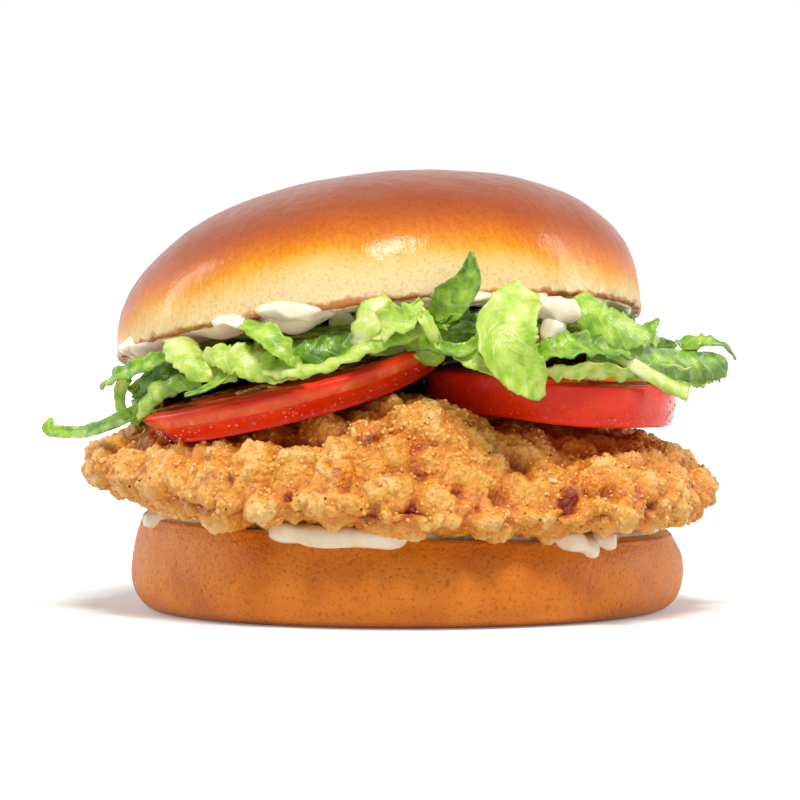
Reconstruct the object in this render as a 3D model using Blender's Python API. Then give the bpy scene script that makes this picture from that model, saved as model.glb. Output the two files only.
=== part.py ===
"""A breaded chicken burger, as a stack of separate foods.

Bottom to top: the bottom half of a soft glazed bun, mayonnaise, a breaded chicken fillet,
two overlapping tomato slices, a bed of shredded lettuce, mayonnaise and the bun's top half,
which leans back and down to the left on the uneven filling.

Metres, +Z up, +X to the right of someone facing the burger, who stands at -Y.
The origin is the centre of the bun's flat base.
"""

import math

import bmesh
import bpy
from mathutils import Matrix, Vector, noise

MM = 0.001
CLEARANCE = 0.35 * MM  # between touching foods, so that their faces never coincide

# Bottom half of the bun
HEEL_RADIUS = 54 * MM
HEEL_BASE_RADIUS = 48.5 * MM
HEEL_CUT_RADIUS = 52 * MM
HEEL_WIDEST_Z = 7.5 * MM
HEEL_CUT_Z = 17 * MM
HEEL_CUT_SLOPE = -0.037  # the cut falls towards +X
HEEL_SEGMENTS = 56

# Top half of the bun
CROWN_RADIUS = 51.5 * MM
CROWN_HEIGHT = 30.5 * MM
CROWN_CENTRE = Vector((-5.3, 0.5, 53.1)) * MM
CROWN_ROLL = math.radians(-5.45)  # about Y, +X side up
CROWN_PITCH = math.radians(-9.2)  # about X, front edge up
CROWN_ROUNDING = 2.4  # exponent of the dome's superellipse
CROWN_FULLER_SIDE = 0.25  # how much the exponent grows towards +X
CROWN_DISH = 3 * MM  # the soft cut face is pressed in by the filling
CROWN_LIP = 0.9 * MM
CROWN_SEGMENTS = 56
CROWN_RINGS = 8

# Breaded chicken fillet
FILLET_LENGTH, FILLET_WIDTH = 125 * MM, 106 * MM
FILLET_HALF_THICKNESS = 10 * MM
FILLET_MIDDLE_Z = 28.8 * MM
FILLET_DROOP = 3.1 * MM  # at the overhanging ends
FILLET_ROUNDING = 2.7
FILLET_CUTS = 12  # subdivisions of each side of the cube that it starts from
LUMP_SIZE = 8.5 * MM
LUMP_HEIGHT = 1.7 * MM
CRUST_HUMP = {"at": Vector((4, -41)) * MM, "height": 4.5 * MM, "spread": 9 * MM}
CRUST_DIP = {"at": Vector((-47, -20)) * MM, "height": -2.5 * MM, "spread": 14 * MM}

# Tomato slices: radii along X and Y, and the slope of the top face along X
SLICE_SEGMENTS = 44
SLICE_BEVEL = 0.9 * MM
LEFT_SLICE = {
    "centre": Vector((-20.5, -13, 46.8)) * MM,
    "radii": (31.3 * MM, 31.3 * MM),
    "thickness": 6.8 * MM,
    "slope": 0.25,
    "undercut": 0.82,  # radius of the lower face as a share of the upper one's
    "bend": 2.3 * MM,
    "bent_side": 1,
    "drape": 1.4 * MM,
}
RIGHT_SLICE = {
    "centre": Vector((28.5, -11, 47.3)) * MM,
    "radii": (23 * MM, 31 * MM),
    "thickness": 8.2 * MM,
    "slope": -0.105,
    "undercut": 0.97,
    "bend": -2.3 * MM,
    "bent_side": -1,
    "drape": 1.2 * MM,
}

# Mayonnaise
SAUCE_FILM = 1.5 * MM
SAUCE_SEGMENTS, SAUCE_RINGS = 60, 9
LOWER_SAUCE_RADIUS = 50.5 * MM
LOWER_SAUCE_LIP = 2.2 * MM
UPPER_SAUCE_RADIUS = 48.5 * MM
# Beads that swell out at the bun's edge: bearing in degrees from +X, swell and half width
LOWER_BEADS = ((-106, 4.6 * MM, 15), (-48, 3.6 * MM, 9), (-172, 3.2 * MM, 6), (64, 4.0 * MM, 12))
# Drops under the top half: place on its cut face, depth and half width
UPPER_DROPS = (
    (Vector((-45, -8)) * MM, 3.2 * MM, 5 * MM),
    (Vector((-29, -36)) * MM, 4.2 * MM, 6 * MM),
    (Vector((-14, -43)) * MM, 5.2 * MM, 5.5 * MM),
    (Vector((10, -45)) * MM, 2.2 * MM, 5 * MM),
    (Vector((24, -40)) * MM, 3.0 * MM, 7 * MM),
    (Vector((33, -30)) * MM, 5.5 * MM, 6 * MM),
    (Vector((40, 22)) * MM, 2.6 * MM, 7 * MM),
    (Vector((-20, 40)) * MM, 2.4 * MM, 8 * MM),
)

# Lettuce: an uneven bed with tufts that reach out past the bun
BED_RADIUS = 51 * MM
BED_SEGMENTS, BED_RINGS = 64, 16
BED_ROUNDING = 3.2
TUFT_THICKNESS = 1.9 * MM
BED_CLEARANCE = 1.1 * MM  # leaves never fill a gap completely
BED_VOXEL = 1.3 * MM
BED_KEEP = 0.064  # share of the even mesh's triangles that is kept
# Tufts: bearing in degrees from +X, reach from the axis, half width in degrees, height of the tip
TUFTS = (
    (-171, 73 * MM, 4.5, 35.5 * MM),
    (-158, 60 * MM, 4.5, 43.5 * MM),
    (-124, 54 * MM, 9.0, 47 * MM),
    (-96, 54 * MM, 10.0, 52 * MM),
    (-66, 55 * MM, 9.0, 50 * MM),
    (-22, 61 * MM, 6.0, 42.5 * MM),
    (-8, 67 * MM, 5.0, 49.5 * MM),
    (28, 59 * MM, 7.0, 48 * MM),
    (67, 57 * MM, 8.0, 44 * MM),
    (104, 60 * MM, 6.0, 41 * MM),
    (143, 58 * MM, 8.0, 40 * MM),
)


def clear_scene():
    """Removes the startup objects."""
    for obj in list(bpy.data.objects):
        bpy.data.objects.remove(obj, do_unlink=True)


def food_material(name, colour, roughness):
    """A plain Principled material with a linear colour."""
    material = bpy.data.materials.new(name)
    material.use_nodes = True
    shader = material.node_tree.nodes["Principled BSDF"]
    shader.inputs["Base Color"].default_value = (*colour, 1.0)
    shader.inputs["Roughness"].default_value = roughness
    shader.inputs["Metallic"].default_value = 0.0
    return material


def make_object(name, bm, material=None):
    """Turns a bmesh into a smooth-shaded object with its normals outwards."""
    bmesh.ops.recalc_face_normals(bm, faces=bm.faces)
    mesh = bpy.data.meshes.new(name)
    bm.to_mesh(mesh)
    bm.free()
    mesh.shade_smooth()
    mesh.set_sharp_from_angle(angle=math.radians(50))
    obj = bpy.data.objects.new(name, mesh)
    bpy.context.scene.collection.objects.link(obj)
    if material:
        mesh.materials.append(material)
    return obj


def superellipse(share, exponent):
    """Height of a unit superellipse at this share of its half width."""
    return max(0.0, 1.0 - min(1.0, abs(share)) ** exponent) ** (1.0 / exponent)


def bell(distance, spread):
    """A smooth bump that is 1 at its middle."""
    return math.exp(-((distance / spread) ** 2))


def turned(profile, segments):
    """Spins (radius, z) points about Z. The ends of the profile lie on the axis."""
    bm = bmesh.new()
    verts = [bm.verts.new((radius, 0, z)) for radius, z in profile]
    edges = [bm.edges.new(pair) for pair in zip(verts, verts[1:])]
    bmesh.ops.spin(
        bm,
        geom=verts + edges,
        cent=(0, 0, 0),
        axis=(0, 0, 1),
        angle=math.tau,
        steps=segments,
        use_merge=True,
    )
    bmesh.ops.remove_doubles(bm, verts=bm.verts, dist=1e-6)
    return bm


def sphere_mapped(segments, rings, place):
    """A unit sphere whose every vertex is moved to place(vertex)."""
    bm = bmesh.new()
    bmesh.ops.create_uvsphere(bm, u_segments=segments, v_segments=rings, radius=1)
    for vert in bm.verts:
        vert.co = place(vert.co.copy())
    return bm


def cutter_from(source, clearance=CLEARANCE):
    """A hidden copy of a food, grown by the clearance, that shapes its neighbours."""
    cutter = source.copy()
    cutter.data = source.data.copy()
    cutter.name = "cutter_" + source.name
    bpy.context.scene.collection.objects.link(cutter)
    grow = cutter.modifiers.new("grow", "DISPLACE")
    grow.mid_level = 0.0
    grow.strength = clearance
    cutter.hide_render = True
    cutter.display_type = "WIRE"
    return cutter


def make_room(obj, cutters):
    """Cuts the neighbours, each with its clearance, out of a food."""
    for cutter in cutters:
        cut = obj.modifiers.new("clear_" + cutter.name, "BOOLEAN")
        cut.operation = "DIFFERENCE"
        cut.solver = "EXACT"
        cut.use_self = True
        cut.object = cutter


def even_out(obj):
    """Rebuilds a heap's skin as one even mesh, then thins it to a light one."""
    remesh = obj.modifiers.new("even_skin", "REMESH")
    remesh.mode = "VOXEL"
    remesh.voxel_size = BED_VOXEL
    thin = obj.modifiers.new("thin", "DECIMATE")
    thin.ratio = BED_KEEP


def keep_largest_piece(obj):
    """Applies the modifiers and drops the loose scraps that cutting leaves."""
    graph = bpy.context.evaluated_depsgraph_get()
    mesh = bpy.data.meshes.new_from_object(obj.evaluated_get(graph))
    bm = bmesh.new()
    bm.from_mesh(mesh)
    bm.verts.ensure_lookup_table()
    pieces, seen = [], set()
    for start in bm.verts:
        if start in seen:
            continue
        piece, queue = [], [start]
        seen.add(start)
        while queue:
            vert = queue.pop()
            piece.append(vert)
            for edge in vert.link_edges:
                other = edge.other_vert(vert)
                if other not in seen:
                    seen.add(other)
                    queue.append(other)
        pieces.append(piece)
    pieces.sort(key=len)
    bmesh.ops.delete(bm, geom=[v for piece in pieces[:-1] for v in piece], context="VERTS")
    bmesh.ops.triangulate(bm, faces=bm.faces)
    bm.to_mesh(mesh)
    bm.free()
    obj.modifiers.clear()
    obj.data = mesh


def heel_cut_z(x):
    """Height of the bottom half's cut face."""
    return HEEL_CUT_Z + HEEL_CUT_SLOPE * x


def heel_profile():
    """Flat base, rounded foot and a wall that leans in towards the cut."""
    points = [(0, 0)]
    foot_steps, wall_steps = 4, 2
    for step in range(foot_steps + 1):
        turn = math.radians(90) * step / foot_steps
        radius = HEEL_BASE_RADIUS + (HEEL_RADIUS - HEEL_BASE_RADIUS) * math.sin(turn)
        points.append((radius, HEEL_WIDEST_Z * (1 - math.cos(turn))))
    top_z = HEEL_CUT_Z * 1.3
    for step in range(1, wall_steps + 1):
        share = step / wall_steps
        lean = (HEEL_RADIUS - HEEL_CUT_RADIUS) * share**2
        points.append((HEEL_RADIUS - lean, HEEL_WIDEST_Z + (top_z - HEEL_WIDEST_Z) * share))
    points.append((0, top_z))
    return points


def build_heel(material):
    """The turned bottom half, sliced along its slightly sloping cut."""
    bm = turned(heel_profile(), HEEL_SEGMENTS)
    sliced = bmesh.ops.bisect_plane(
        bm,
        geom=bm.verts[:] + bm.edges[:] + bm.faces[:],
        plane_co=(0, 0, HEEL_CUT_Z),
        plane_no=Vector((-HEEL_CUT_SLOPE, 0, 1)).normalized(),
        clear_outer=True,
    )
    rim = [e for e in sliced["geom_cut"] if isinstance(e, bmesh.types.BMEdge)]
    bmesh.ops.edgeloop_fill(bm, edges=rim)
    return make_object("bun_bottom", bm, material)


def crown_profile():
    """From the dished cut face, round the lip and up the dome to its top."""
    dish_shares = (0, 0.5, 0.93)
    points = [(CROWN_RADIUS * s, CROWN_DISH * (1 - s**2)) for s in dish_shares]
    points.append((CROWN_RADIUS - CROWN_LIP, 0))
    for ring in range(CROWN_RINGS + 1):
        turn = math.radians(90) * ring / CROWN_RINGS
        share = math.sin(turn) ** (2 / CROWN_ROUNDING)
        z = CROWN_LIP + (CROWN_HEIGHT - CROWN_LIP) * share
        points.append((CROWN_RADIUS * superellipse(share, CROWN_ROUNDING), z))
    points[-1] = (0, CROWN_HEIGHT)
    return points


def crown_matrix():
    """Where the top half sits: its local origin is the middle of its cut plane."""
    turn = Matrix.Rotation(CROWN_ROLL, 4, "Y") @ Matrix.Rotation(CROWN_PITCH, 4, "X")
    return Matrix.Translation(CROWN_CENTRE) @ turn


def build_crown(material):
    """The domed top half, fuller on its +X side."""
    bm = turned(crown_profile(), CROWN_SEGMENTS)
    for vert in bm.verts:
        radius = math.hypot(vert.co.x, vert.co.y)
        share = (vert.co.z - CROWN_LIP) / (CROWN_HEIGHT - CROWN_LIP)
        if share <= 0 or radius < 1e-6 or radius < CROWN_RADIUS * 0.94 and share < 0.1:
            continue
        fuller = CROWN_ROUNDING + CROWN_FULLER_SIDE * vert.co.x / radius
        wanted = CROWN_RADIUS * superellipse(share, fuller)
        vert.co.xy = vert.co.xy * (wanted / radius)
    obj = make_object("bun_top", bm, material)
    obj.matrix_world = crown_matrix()
    return obj


def fillet_outline(bearing):
    """The fillet's uneven oval outline, as a radius from the axis."""
    oval = 1 / math.hypot(
        math.cos(bearing) / (FILLET_LENGTH / 2), math.sin(bearing) / (FILLET_WIDTH / 2)
    )
    uneven = 0.025 * math.cos(3 * bearing + 0.8) + 0.02 * math.cos(5 * bearing + 2.1)
    return oval * (1 + uneven)


def lump_relief(point):
    """Rounded lumps of breading with creases between them, from -1 to 1."""
    nearest = noise.voronoi(point / LUMP_SIZE)[0]
    lump = 1 - 2.2 * nearest[0]
    swell = noise.noise(point / (2.6 * LUMP_SIZE))
    return 0.75 * lump + 0.5 * swell


def mound(feature, x, y):
    """Height that a hump or dip adds to the top of the crust here."""
    distance = (Vector((x, y)) - feature["at"]).length
    return feature["height"] * bell(distance, feature["spread"])


def fillet_point(unit):
    """Maps a point of a unit sphere onto the fillet."""
    bearing = math.atan2(unit.y, unit.x)
    spread = math.hypot(unit.x, unit.y) ** (2 / FILLET_ROUNDING)
    rise = math.copysign(abs(unit.z) ** (2 / FILLET_ROUNDING), unit.z)
    reach = fillet_outline(bearing) * spread
    x, y = reach * math.cos(bearing), reach * math.sin(bearing)
    middle = FILLET_MIDDLE_Z + HEEL_CUT_SLOPE * x - FILLET_DROOP * (reach / (FILLET_LENGTH / 2)) ** 2
    point = Vector((x, y, middle + FILLET_HALF_THICKNESS * rise))
    if rise > 0:
        point.z += rise * (mound(CRUST_HUMP, x, y) + mound(CRUST_DIP, x, y))
    outward = Vector((unit.x, unit.y, unit.z * 1.6)).normalized()
    under = 0.35 if unit.z < -0.35 else 1.0  # the underside is pressed flatter
    return point + outward * (LUMP_HEIGHT * under * lump_relief(point))


def build_fillet(material):
    """The breaded fillet, from a finely cut cube puffed out to a sphere."""
    bm = bmesh.new()
    bmesh.ops.create_cube(bm, size=2)
    bmesh.ops.subdivide_edges(bm, edges=bm.edges, cuts=FILLET_CUTS, use_grid_fill=True)
    for vert in bm.verts:
        vert.co = fillet_point(vert.co.normalized())
    return make_object("chicken_fillet", bm, material)


def slice_point(spec, x, y, z):
    """Bends a flat slice's point to its slope, its raised or lowered end and its drape."""
    radius_x, radius_y = spec["radii"]
    toward_end = max(0.0, spec["bent_side"] * x / radius_x - 0.3) / 0.7
    toward_front = max(0.0, -y / radius_y)
    lift = spec["bend"] * toward_end**2 - spec["drape"] * toward_front**2
    return spec["centre"] + Vector((x, y, z + spec["slope"] * x + lift))


def build_slice(name, spec, material):
    """A tomato slice: a short cone with rounded rims, lobed, bent and draped."""
    bm = bmesh.new()
    thickness, (radius_x, radius_y) = spec["thickness"], spec["radii"]
    bmesh.ops.create_cone(
        bm,
        cap_ends=True,
        segments=SLICE_SEGMENTS,
        radius1=spec["undercut"],
        radius2=1,
        depth=1,
    )
    for vert in bm.verts:
        lobes = 1 + 0.012 * math.cos(5 * math.atan2(vert.co.y, vert.co.x) + 1)
        vert.co.x *= radius_x * lobes
        vert.co.y *= radius_y * lobes
        vert.co.z = (vert.co.z - 0.5) * thickness
    rims = [e for e in bm.edges if abs(e.verts[0].co.z - e.verts[1].co.z) < 1e-6]
    bmesh.ops.bevel(
        bm, geom=rims, offset=SLICE_BEVEL, affect="EDGES", segments=2, profile=0.5, material=-1
    )
    caps = [f for f in bm.faces if len(f.verts) == SLICE_SEGMENTS]
    inset_steps = 2
    for _ in range(inset_steps):
        bmesh.ops.inset_region(bm, faces=caps, thickness=min(radius_x, radius_y) / (inset_steps + 1.2))
    bmesh.ops.poke(bm, faces=caps)
    for vert in bm.verts:
        vert.co = slice_point(spec, *vert.co)
    return make_object(name, bm, material)


def bearing_gap(bearing, degrees):
    """The angle in degrees between a bearing and one given in degrees."""
    return abs((math.degrees(bearing) - degrees + 180) % 360 - 180)


def lower_sauce_point(unit):
    """Maps a unit sphere onto the film between bun and fillet, with beads at its edge."""
    bearing = math.atan2(unit.y, unit.x)
    bead = max(swell * bell(bearing_gap(bearing, at), half) for at, swell, half in LOWER_BEADS)
    spread = math.hypot(unit.x, unit.y) ** 0.6
    reach = (LOWER_SAUCE_RADIUS + 0.9 * math.cos(7 * bearing) * MM + bead) * spread
    x, y = reach * math.cos(bearing), reach * math.sin(bearing)
    depth = SAUCE_FILM + (LOWER_SAUCE_LIP + 0.25 * bead) * spread**6
    sag = 0.35 * bead * spread**8
    rise = math.copysign(abs(unit.z) ** 0.6, unit.z)
    return Vector((x, y, heel_cut_z(x) + 0.4 * MM - sag + depth * rise))


def upper_sauce_point(unit):
    """Maps a unit sphere onto the spread under the top half, in that half's own frame."""
    bearing = math.atan2(unit.y, unit.x)
    spread = math.hypot(unit.x, unit.y) ** 0.7
    reach = (UPPER_SAUCE_RADIUS + 1.4 * MM * math.cos(5 * bearing + 1)) * spread
    x, y = reach * math.cos(bearing), reach * math.sin(bearing)
    face = CROWN_DISH * (1 - (reach / CROWN_RADIUS) ** 2)
    rise = math.copysign(abs(unit.z) ** 0.7, unit.z)
    if rise > 0:
        return Vector((x, y, face + 0.6 * MM * rise))
    drop = max(deep * bell((Vector((x, y)) - at).length, half) for at, deep, half in UPPER_DROPS)
    return Vector((x, y, face + (SAUCE_FILM + drop) * rise))


def crown_cut_z(x, y):
    """Height of the top half's cut plane at this place."""
    normal = crown_matrix().to_3x3() @ Vector((0, 0, 1))
    return CROWN_CENTRE.z - (normal.x * (x - CROWN_CENTRE.x) + normal.y * (y - CROWN_CENTRE.y)) / normal.z


def bed_point(unit):
    """Maps a unit sphere onto the lettuce, out to its uneven outline and its tufts."""
    bearing = math.atan2(unit.y, unit.x)
    spread = math.hypot(unit.x, unit.y) ** (2 / BED_ROUNDING)
    rise = math.copysign(abs(unit.z) ** (2 / BED_ROUNDING), unit.z)
    rim = BED_RADIUS + 1.6 * MM * math.cos(9 * bearing) + 1.2 * MM * math.cos(14 * bearing + 2)
    at, reach, half, tip_z = max(TUFTS, key=lambda tuft: bell(bearing_gap(bearing, tuft[0]), tuft[2]))
    tuft = bell(bearing_gap(bearing, at), half)
    outline = rim + (reach - rim) * tuft
    x, y = outline * spread * math.cos(bearing), outline * spread * math.sin(bearing)
    top = crown_cut_z(x, y) + 2 * MM
    floor = min(top - 4 * MM, 40 * MM + 0.05 * x - 0.05 * y)
    middle, half_depth = (top + floor) / 2, (top - floor) / 2
    past_rim = max(0.0, min(1.0, (outline * spread - 0.88 * rim) / (0.14 * rim)))
    blend = tuft * past_rim**0.7
    middle += (tip_z - middle) * blend
    half_depth += (TUFT_THICKNESS - half_depth) * max(blend, 0.45 * past_rim)
    ruffle = noise.noise(Vector((x, y, 0)) / (7 * MM)) * 0.8 * MM
    return Vector((x, y, middle + half_depth * rise + ruffle))


def main():
    """Builds the foods from the plate up, each cut clear of the ones it touches."""
    clear_scene()
    heel = build_heel(food_material("bun_side_crust", (0.62, 0.25, 0.06), 0.5))
    crown = build_crown(food_material("bun_glazed_crust", (0.75, 0.32, 0.06), 0.3))
    tomato = food_material("tomato_flesh", (0.68, 0.05, 0.02), 0.2)
    left_slice = build_slice("tomato_left", LEFT_SLICE, tomato)
    right_slice = build_slice("tomato_right", RIGHT_SLICE, tomato)
    fillet = build_fillet(food_material("fried_breading", (0.76, 0.37, 0.08), 0.55))
    mayonnaise = food_material("mayonnaise", (0.88, 0.8, 0.62), 0.25)
    lower_bm = sphere_mapped(SAUCE_SEGMENTS, SAUCE_RINGS, lower_sauce_point)
    lower_sauce = make_object("sauce_lower", lower_bm, mayonnaise)
    upper_bm = sphere_mapped(SAUCE_SEGMENTS, SAUCE_RINGS, upper_sauce_point)
    upper_sauce = make_object("sauce_upper", upper_bm, mayonnaise)
    upper_sauce.matrix_world = crown_matrix()
    lettuce_leaf = food_material("lettuce_leaf", (0.3, 0.45, 0.06), 0.4)
    bed_bm = sphere_mapped(BED_SEGMENTS, BED_RINGS, bed_point)
    bed = make_object("lettuce", bed_bm, lettuce_leaf)

    slice_cutters = [cutter_from(left_slice), cutter_from(right_slice)]
    make_room(fillet, slice_cutters)
    keep_largest_piece(fillet)
    fillet_cutter = cutter_from(fillet)
    make_room(lower_sauce, [cutter_from(heel), fillet_cutter])
    keep_largest_piece(lower_sauce)
    crown_cutter = cutter_from(crown)
    make_room(upper_sauce, [crown_cutter, *slice_cutters])
    keep_largest_piece(upper_sauce)
    under_bed = [left_slice, right_slice, fillet]
    make_room(bed, [cutter_from(food, BED_CLEARANCE) for food in [crown, upper_sauce, *under_bed]])
    even_out(bed)
    keep_largest_piece(bed)


main()
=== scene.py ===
"""The looks of a breaded chicken burger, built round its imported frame.

Every piece is in metres in the frame's own axes: +Z up through the stack, +X to the right and
-Y to the front, with the origin at the centre of the bun's flat base.
"""

import logging
import math
import random
from dataclasses import dataclass, field
from enum import Enum
from typing import Callable, Sequence

import bmesh
import bpy
import numpy as np
from mathutils import Matrix, Vector, noise
from mathutils.bvhtree import BVHTree


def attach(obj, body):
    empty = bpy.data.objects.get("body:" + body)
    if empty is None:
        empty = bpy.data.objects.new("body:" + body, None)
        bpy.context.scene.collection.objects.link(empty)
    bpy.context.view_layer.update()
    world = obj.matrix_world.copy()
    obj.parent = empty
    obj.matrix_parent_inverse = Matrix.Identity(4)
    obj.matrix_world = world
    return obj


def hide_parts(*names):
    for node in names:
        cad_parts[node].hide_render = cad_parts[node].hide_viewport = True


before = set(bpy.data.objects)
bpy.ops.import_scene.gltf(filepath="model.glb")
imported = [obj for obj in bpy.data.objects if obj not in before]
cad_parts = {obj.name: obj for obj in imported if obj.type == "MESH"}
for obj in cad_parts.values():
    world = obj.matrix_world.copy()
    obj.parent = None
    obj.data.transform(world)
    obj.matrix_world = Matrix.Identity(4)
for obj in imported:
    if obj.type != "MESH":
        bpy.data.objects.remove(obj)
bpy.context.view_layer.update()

MM = 0.001
log = logging.getLogger("burger")

Numbers = Sequence[float]
Place = Callable[[Vector], Vector]


# ---------------------------------------------------------------- shared helpers


def linear(colour: str) -> tuple[float, float, float, float]:
    """Turns an sRGB hex colour to linear RGBA.

    Args:
        colour: Six hex digits after a hash.

    Returns:
        The linear colour with an alpha of 1.
    """
    shares = [int(colour[i : i + 2], 16) / 255 for i in (1, 3, 5)]
    return (*(s / 12.92 if s <= 0.04045 else ((s + 0.055) / 1.055) ** 2.4 for s in shares), 1.0)


def per_metre(millimetres: float) -> float:
    """The scale that makes a texture's features this many millimetres wide."""
    return 1 / (millimetres * MM)


def add_node(
    tree: bpy.types.NodeTree,
    kind: str,
    links: dict[str | int, object] | None = None,
    stops: Sequence[tuple[float, str]] = (),
    **settings: object,
) -> bpy.types.Node:
    """Adds a node with its settings, its socket values and its links.

    Args:
        tree: The node tree that gets the node.
        kind: The node's type name.
        links: Socket name or index to a value, or to the socket that feeds it.
        stops: Places and hex colours, for a colour ramp.
        settings: The node's own properties.

    Returns:
        The new node.
    """
    node = tree.nodes.new(kind)
    for name, value in settings.items():
        setattr(node, name, value)
    for name, value in (links or {}).items():
        if isinstance(value, bpy.types.NodeSocket):
            tree.links.new(value, node.inputs[name])
        else:
            node.inputs[name].default_value = value
    if stops:
        elements = node.color_ramp.elements
        while len(elements) < len(stops):
            elements.new(1.0)
        for element, (position, colour) in zip(elements, stops):
            element.position = position
            element.color = linear(colour)
    return node


def new_material(name: str) -> tuple[bpy.types.Material, bpy.types.NodeTree, bpy.types.Node]:
    """Starts a material.

    Args:
        name: The material's name.

    Returns:
        The material, its node tree and its Principled shader.
    """
    material = bpy.data.materials.new(name)
    material.use_nodes = True
    return material, material.node_tree, material.node_tree.nodes["Principled BSDF"]


def smooth_step(value: float, low: float, high: float) -> float:
    """Rises smoothly from 0 at low to 1 at high."""
    share = max(0.0, min(1.0, (value - low) / (high - low)))
    return share * share * (3 - 2 * share)


def bell(distance: float, spread: float) -> float:
    """A smooth bump that is 1 at its middle."""
    return math.exp(-((distance / spread) ** 2))


def superellipse(share: float, exponent: float) -> float:
    """Height of a unit superellipse at this share of its half width."""
    return max(0.0, 1.0 - min(1.0, abs(share)) ** exponent) ** (1.0 / exponent)


def signed_power(value: float, exponent: float) -> float:
    """Raises a value's size to a power and keeps its sign."""
    return math.copysign(abs(value) ** exponent, value)


def rough(point: Vector, size: float, octaves: int = 3) -> float:
    """Fractal noise from about -1 to 1, with features of this size in metres."""
    return noise.fractal(point / size, 0.7, 2.1, octaves)


def turned(profile: Sequence[tuple[float, float]], segments: int) -> bmesh.types.BMesh:
    """Spins a profile about Z into a closed body.

    Args:
        profile: (radius, z) points whose ends lie on the axis.
        segments: Steps of the full turn.

    Returns:
        The turned body.
    """
    bm = bmesh.new()
    verts = [bm.verts.new((radius, 0, z)) for radius, z in profile]
    edges = [bm.edges.new(pair) for pair in zip(verts, verts[1:])]
    bmesh.ops.spin(
        bm,
        geom=verts + edges,
        cent=(0, 0, 0),
        axis=(0, 0, 1),
        angle=math.tau,
        steps=segments,
        use_merge=True,
    )
    bmesh.ops.remove_doubles(bm, verts=bm.verts, dist=1e-6)
    bmesh.ops.recalc_face_normals(bm, faces=bm.faces)
    return bm


def sphere_mapped(segments: int, rings: int, place: Place) -> bmesh.types.BMesh:
    """Moves every vertex of a unit sphere.

    Args:
        segments: Steps round the sphere.
        rings: Steps from pole to pole.
        place: Gives a vertex's new place.

    Returns:
        The moved sphere.
    """
    bm = bmesh.new()
    bmesh.ops.create_uvsphere(bm, u_segments=segments, v_segments=rings, radius=1)
    for vert in bm.verts:
        vert.co = place(vert.co.copy())
    bmesh.ops.recalc_face_normals(bm, faces=bm.faces)
    return bm


def finish_piece(
    name: str,
    bm: bmesh.types.BMesh,
    material: bpy.types.Material,
    replaced: Sequence[str] = (),
) -> bpy.types.Object:
    """Turns a bmesh into a smooth piece that rides on the burger's body.

    Args:
        name: The piece's name.
        bm: Its shape, which is freed.
        material: Its finish.
        replaced: The frame's nodes that it stands for.

    Returns:
        The piece.
    """
    mesh = bpy.data.meshes.new(name)
    bm.to_mesh(mesh)
    bm.free()
    mesh.shade_smooth()
    mesh.materials.clear()
    mesh.materials.append(material)
    piece = bpy.data.objects.new(name, mesh)
    bpy.context.scene.collection.objects.link(piece)
    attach(piece, "root")
    if replaced:
        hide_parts(*replaced)
    log.info("%s: %d faces", name, len(mesh.polygons))
    return piece


def joined(count: int, add_one: Callable[[bmesh.types.BMesh, int], None]) -> bmesh.types.BMesh:
    """Joins many small bodies into one mesh, in batches so that each step stays quick.

    Args:
        count: How many bodies.
        add_one: Adds the body of this number to a mesh.

    Returns:
        The joined mesh.
    """
    total = bmesh.new()
    for start in range(0, count, 40):
        batch = bmesh.new()
        for index in range(start, min(start + 40, count)):
            add_one(batch, index)
        mesh = bpy.data.meshes.new("batch")
        batch.to_mesh(mesh)
        batch.free()
        total.from_mesh(mesh)
        bpy.data.meshes.remove(mesh)
    return total


def merged_copy(node: str) -> bmesh.types.BMesh:
    """A copy of a frame node's shape with its loose triangles joined."""
    bm = bmesh.new()
    bm.from_mesh(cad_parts[node].data)
    bmesh.ops.remove_doubles(bm, verts=bm.verts, dist=1e-6)
    return bm


def refined(bm: bmesh.types.BMesh, levels: int, voxel: float) -> bmesh.types.BMesh:
    """Rounds a faceted body and gives it an even fine mesh.

    Args:
        bm: The body, which is freed.
        levels: Subdivision levels that round it first.
        voxel: The fine mesh's spacing in metres.

    Returns:
        The fine body.
    """
    mesh = bpy.data.meshes.new("coarse")
    bm.to_mesh(mesh)
    bm.free()
    carrier = bpy.data.objects.new("coarse", mesh)
    bpy.context.scene.collection.objects.link(carrier)
    rounding = carrier.modifiers.new("rounding", "SUBSURF")
    rounding.levels = rounding.render_levels = levels
    even = carrier.modifiers.new("even", "REMESH")
    even.mode = "VOXEL"
    even.voxel_size = voxel
    graph = bpy.context.evaluated_depsgraph_get()
    fine_mesh = bpy.data.meshes.new_from_object(carrier.evaluated_get(graph))
    fine = bmesh.new()
    fine.from_mesh(fine_mesh)
    bpy.data.objects.remove(carrier)
    bpy.data.meshes.remove(mesh)
    bpy.data.meshes.remove(fine_mesh)
    return fine


# ---------------------------------------------------------------- finishes


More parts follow.
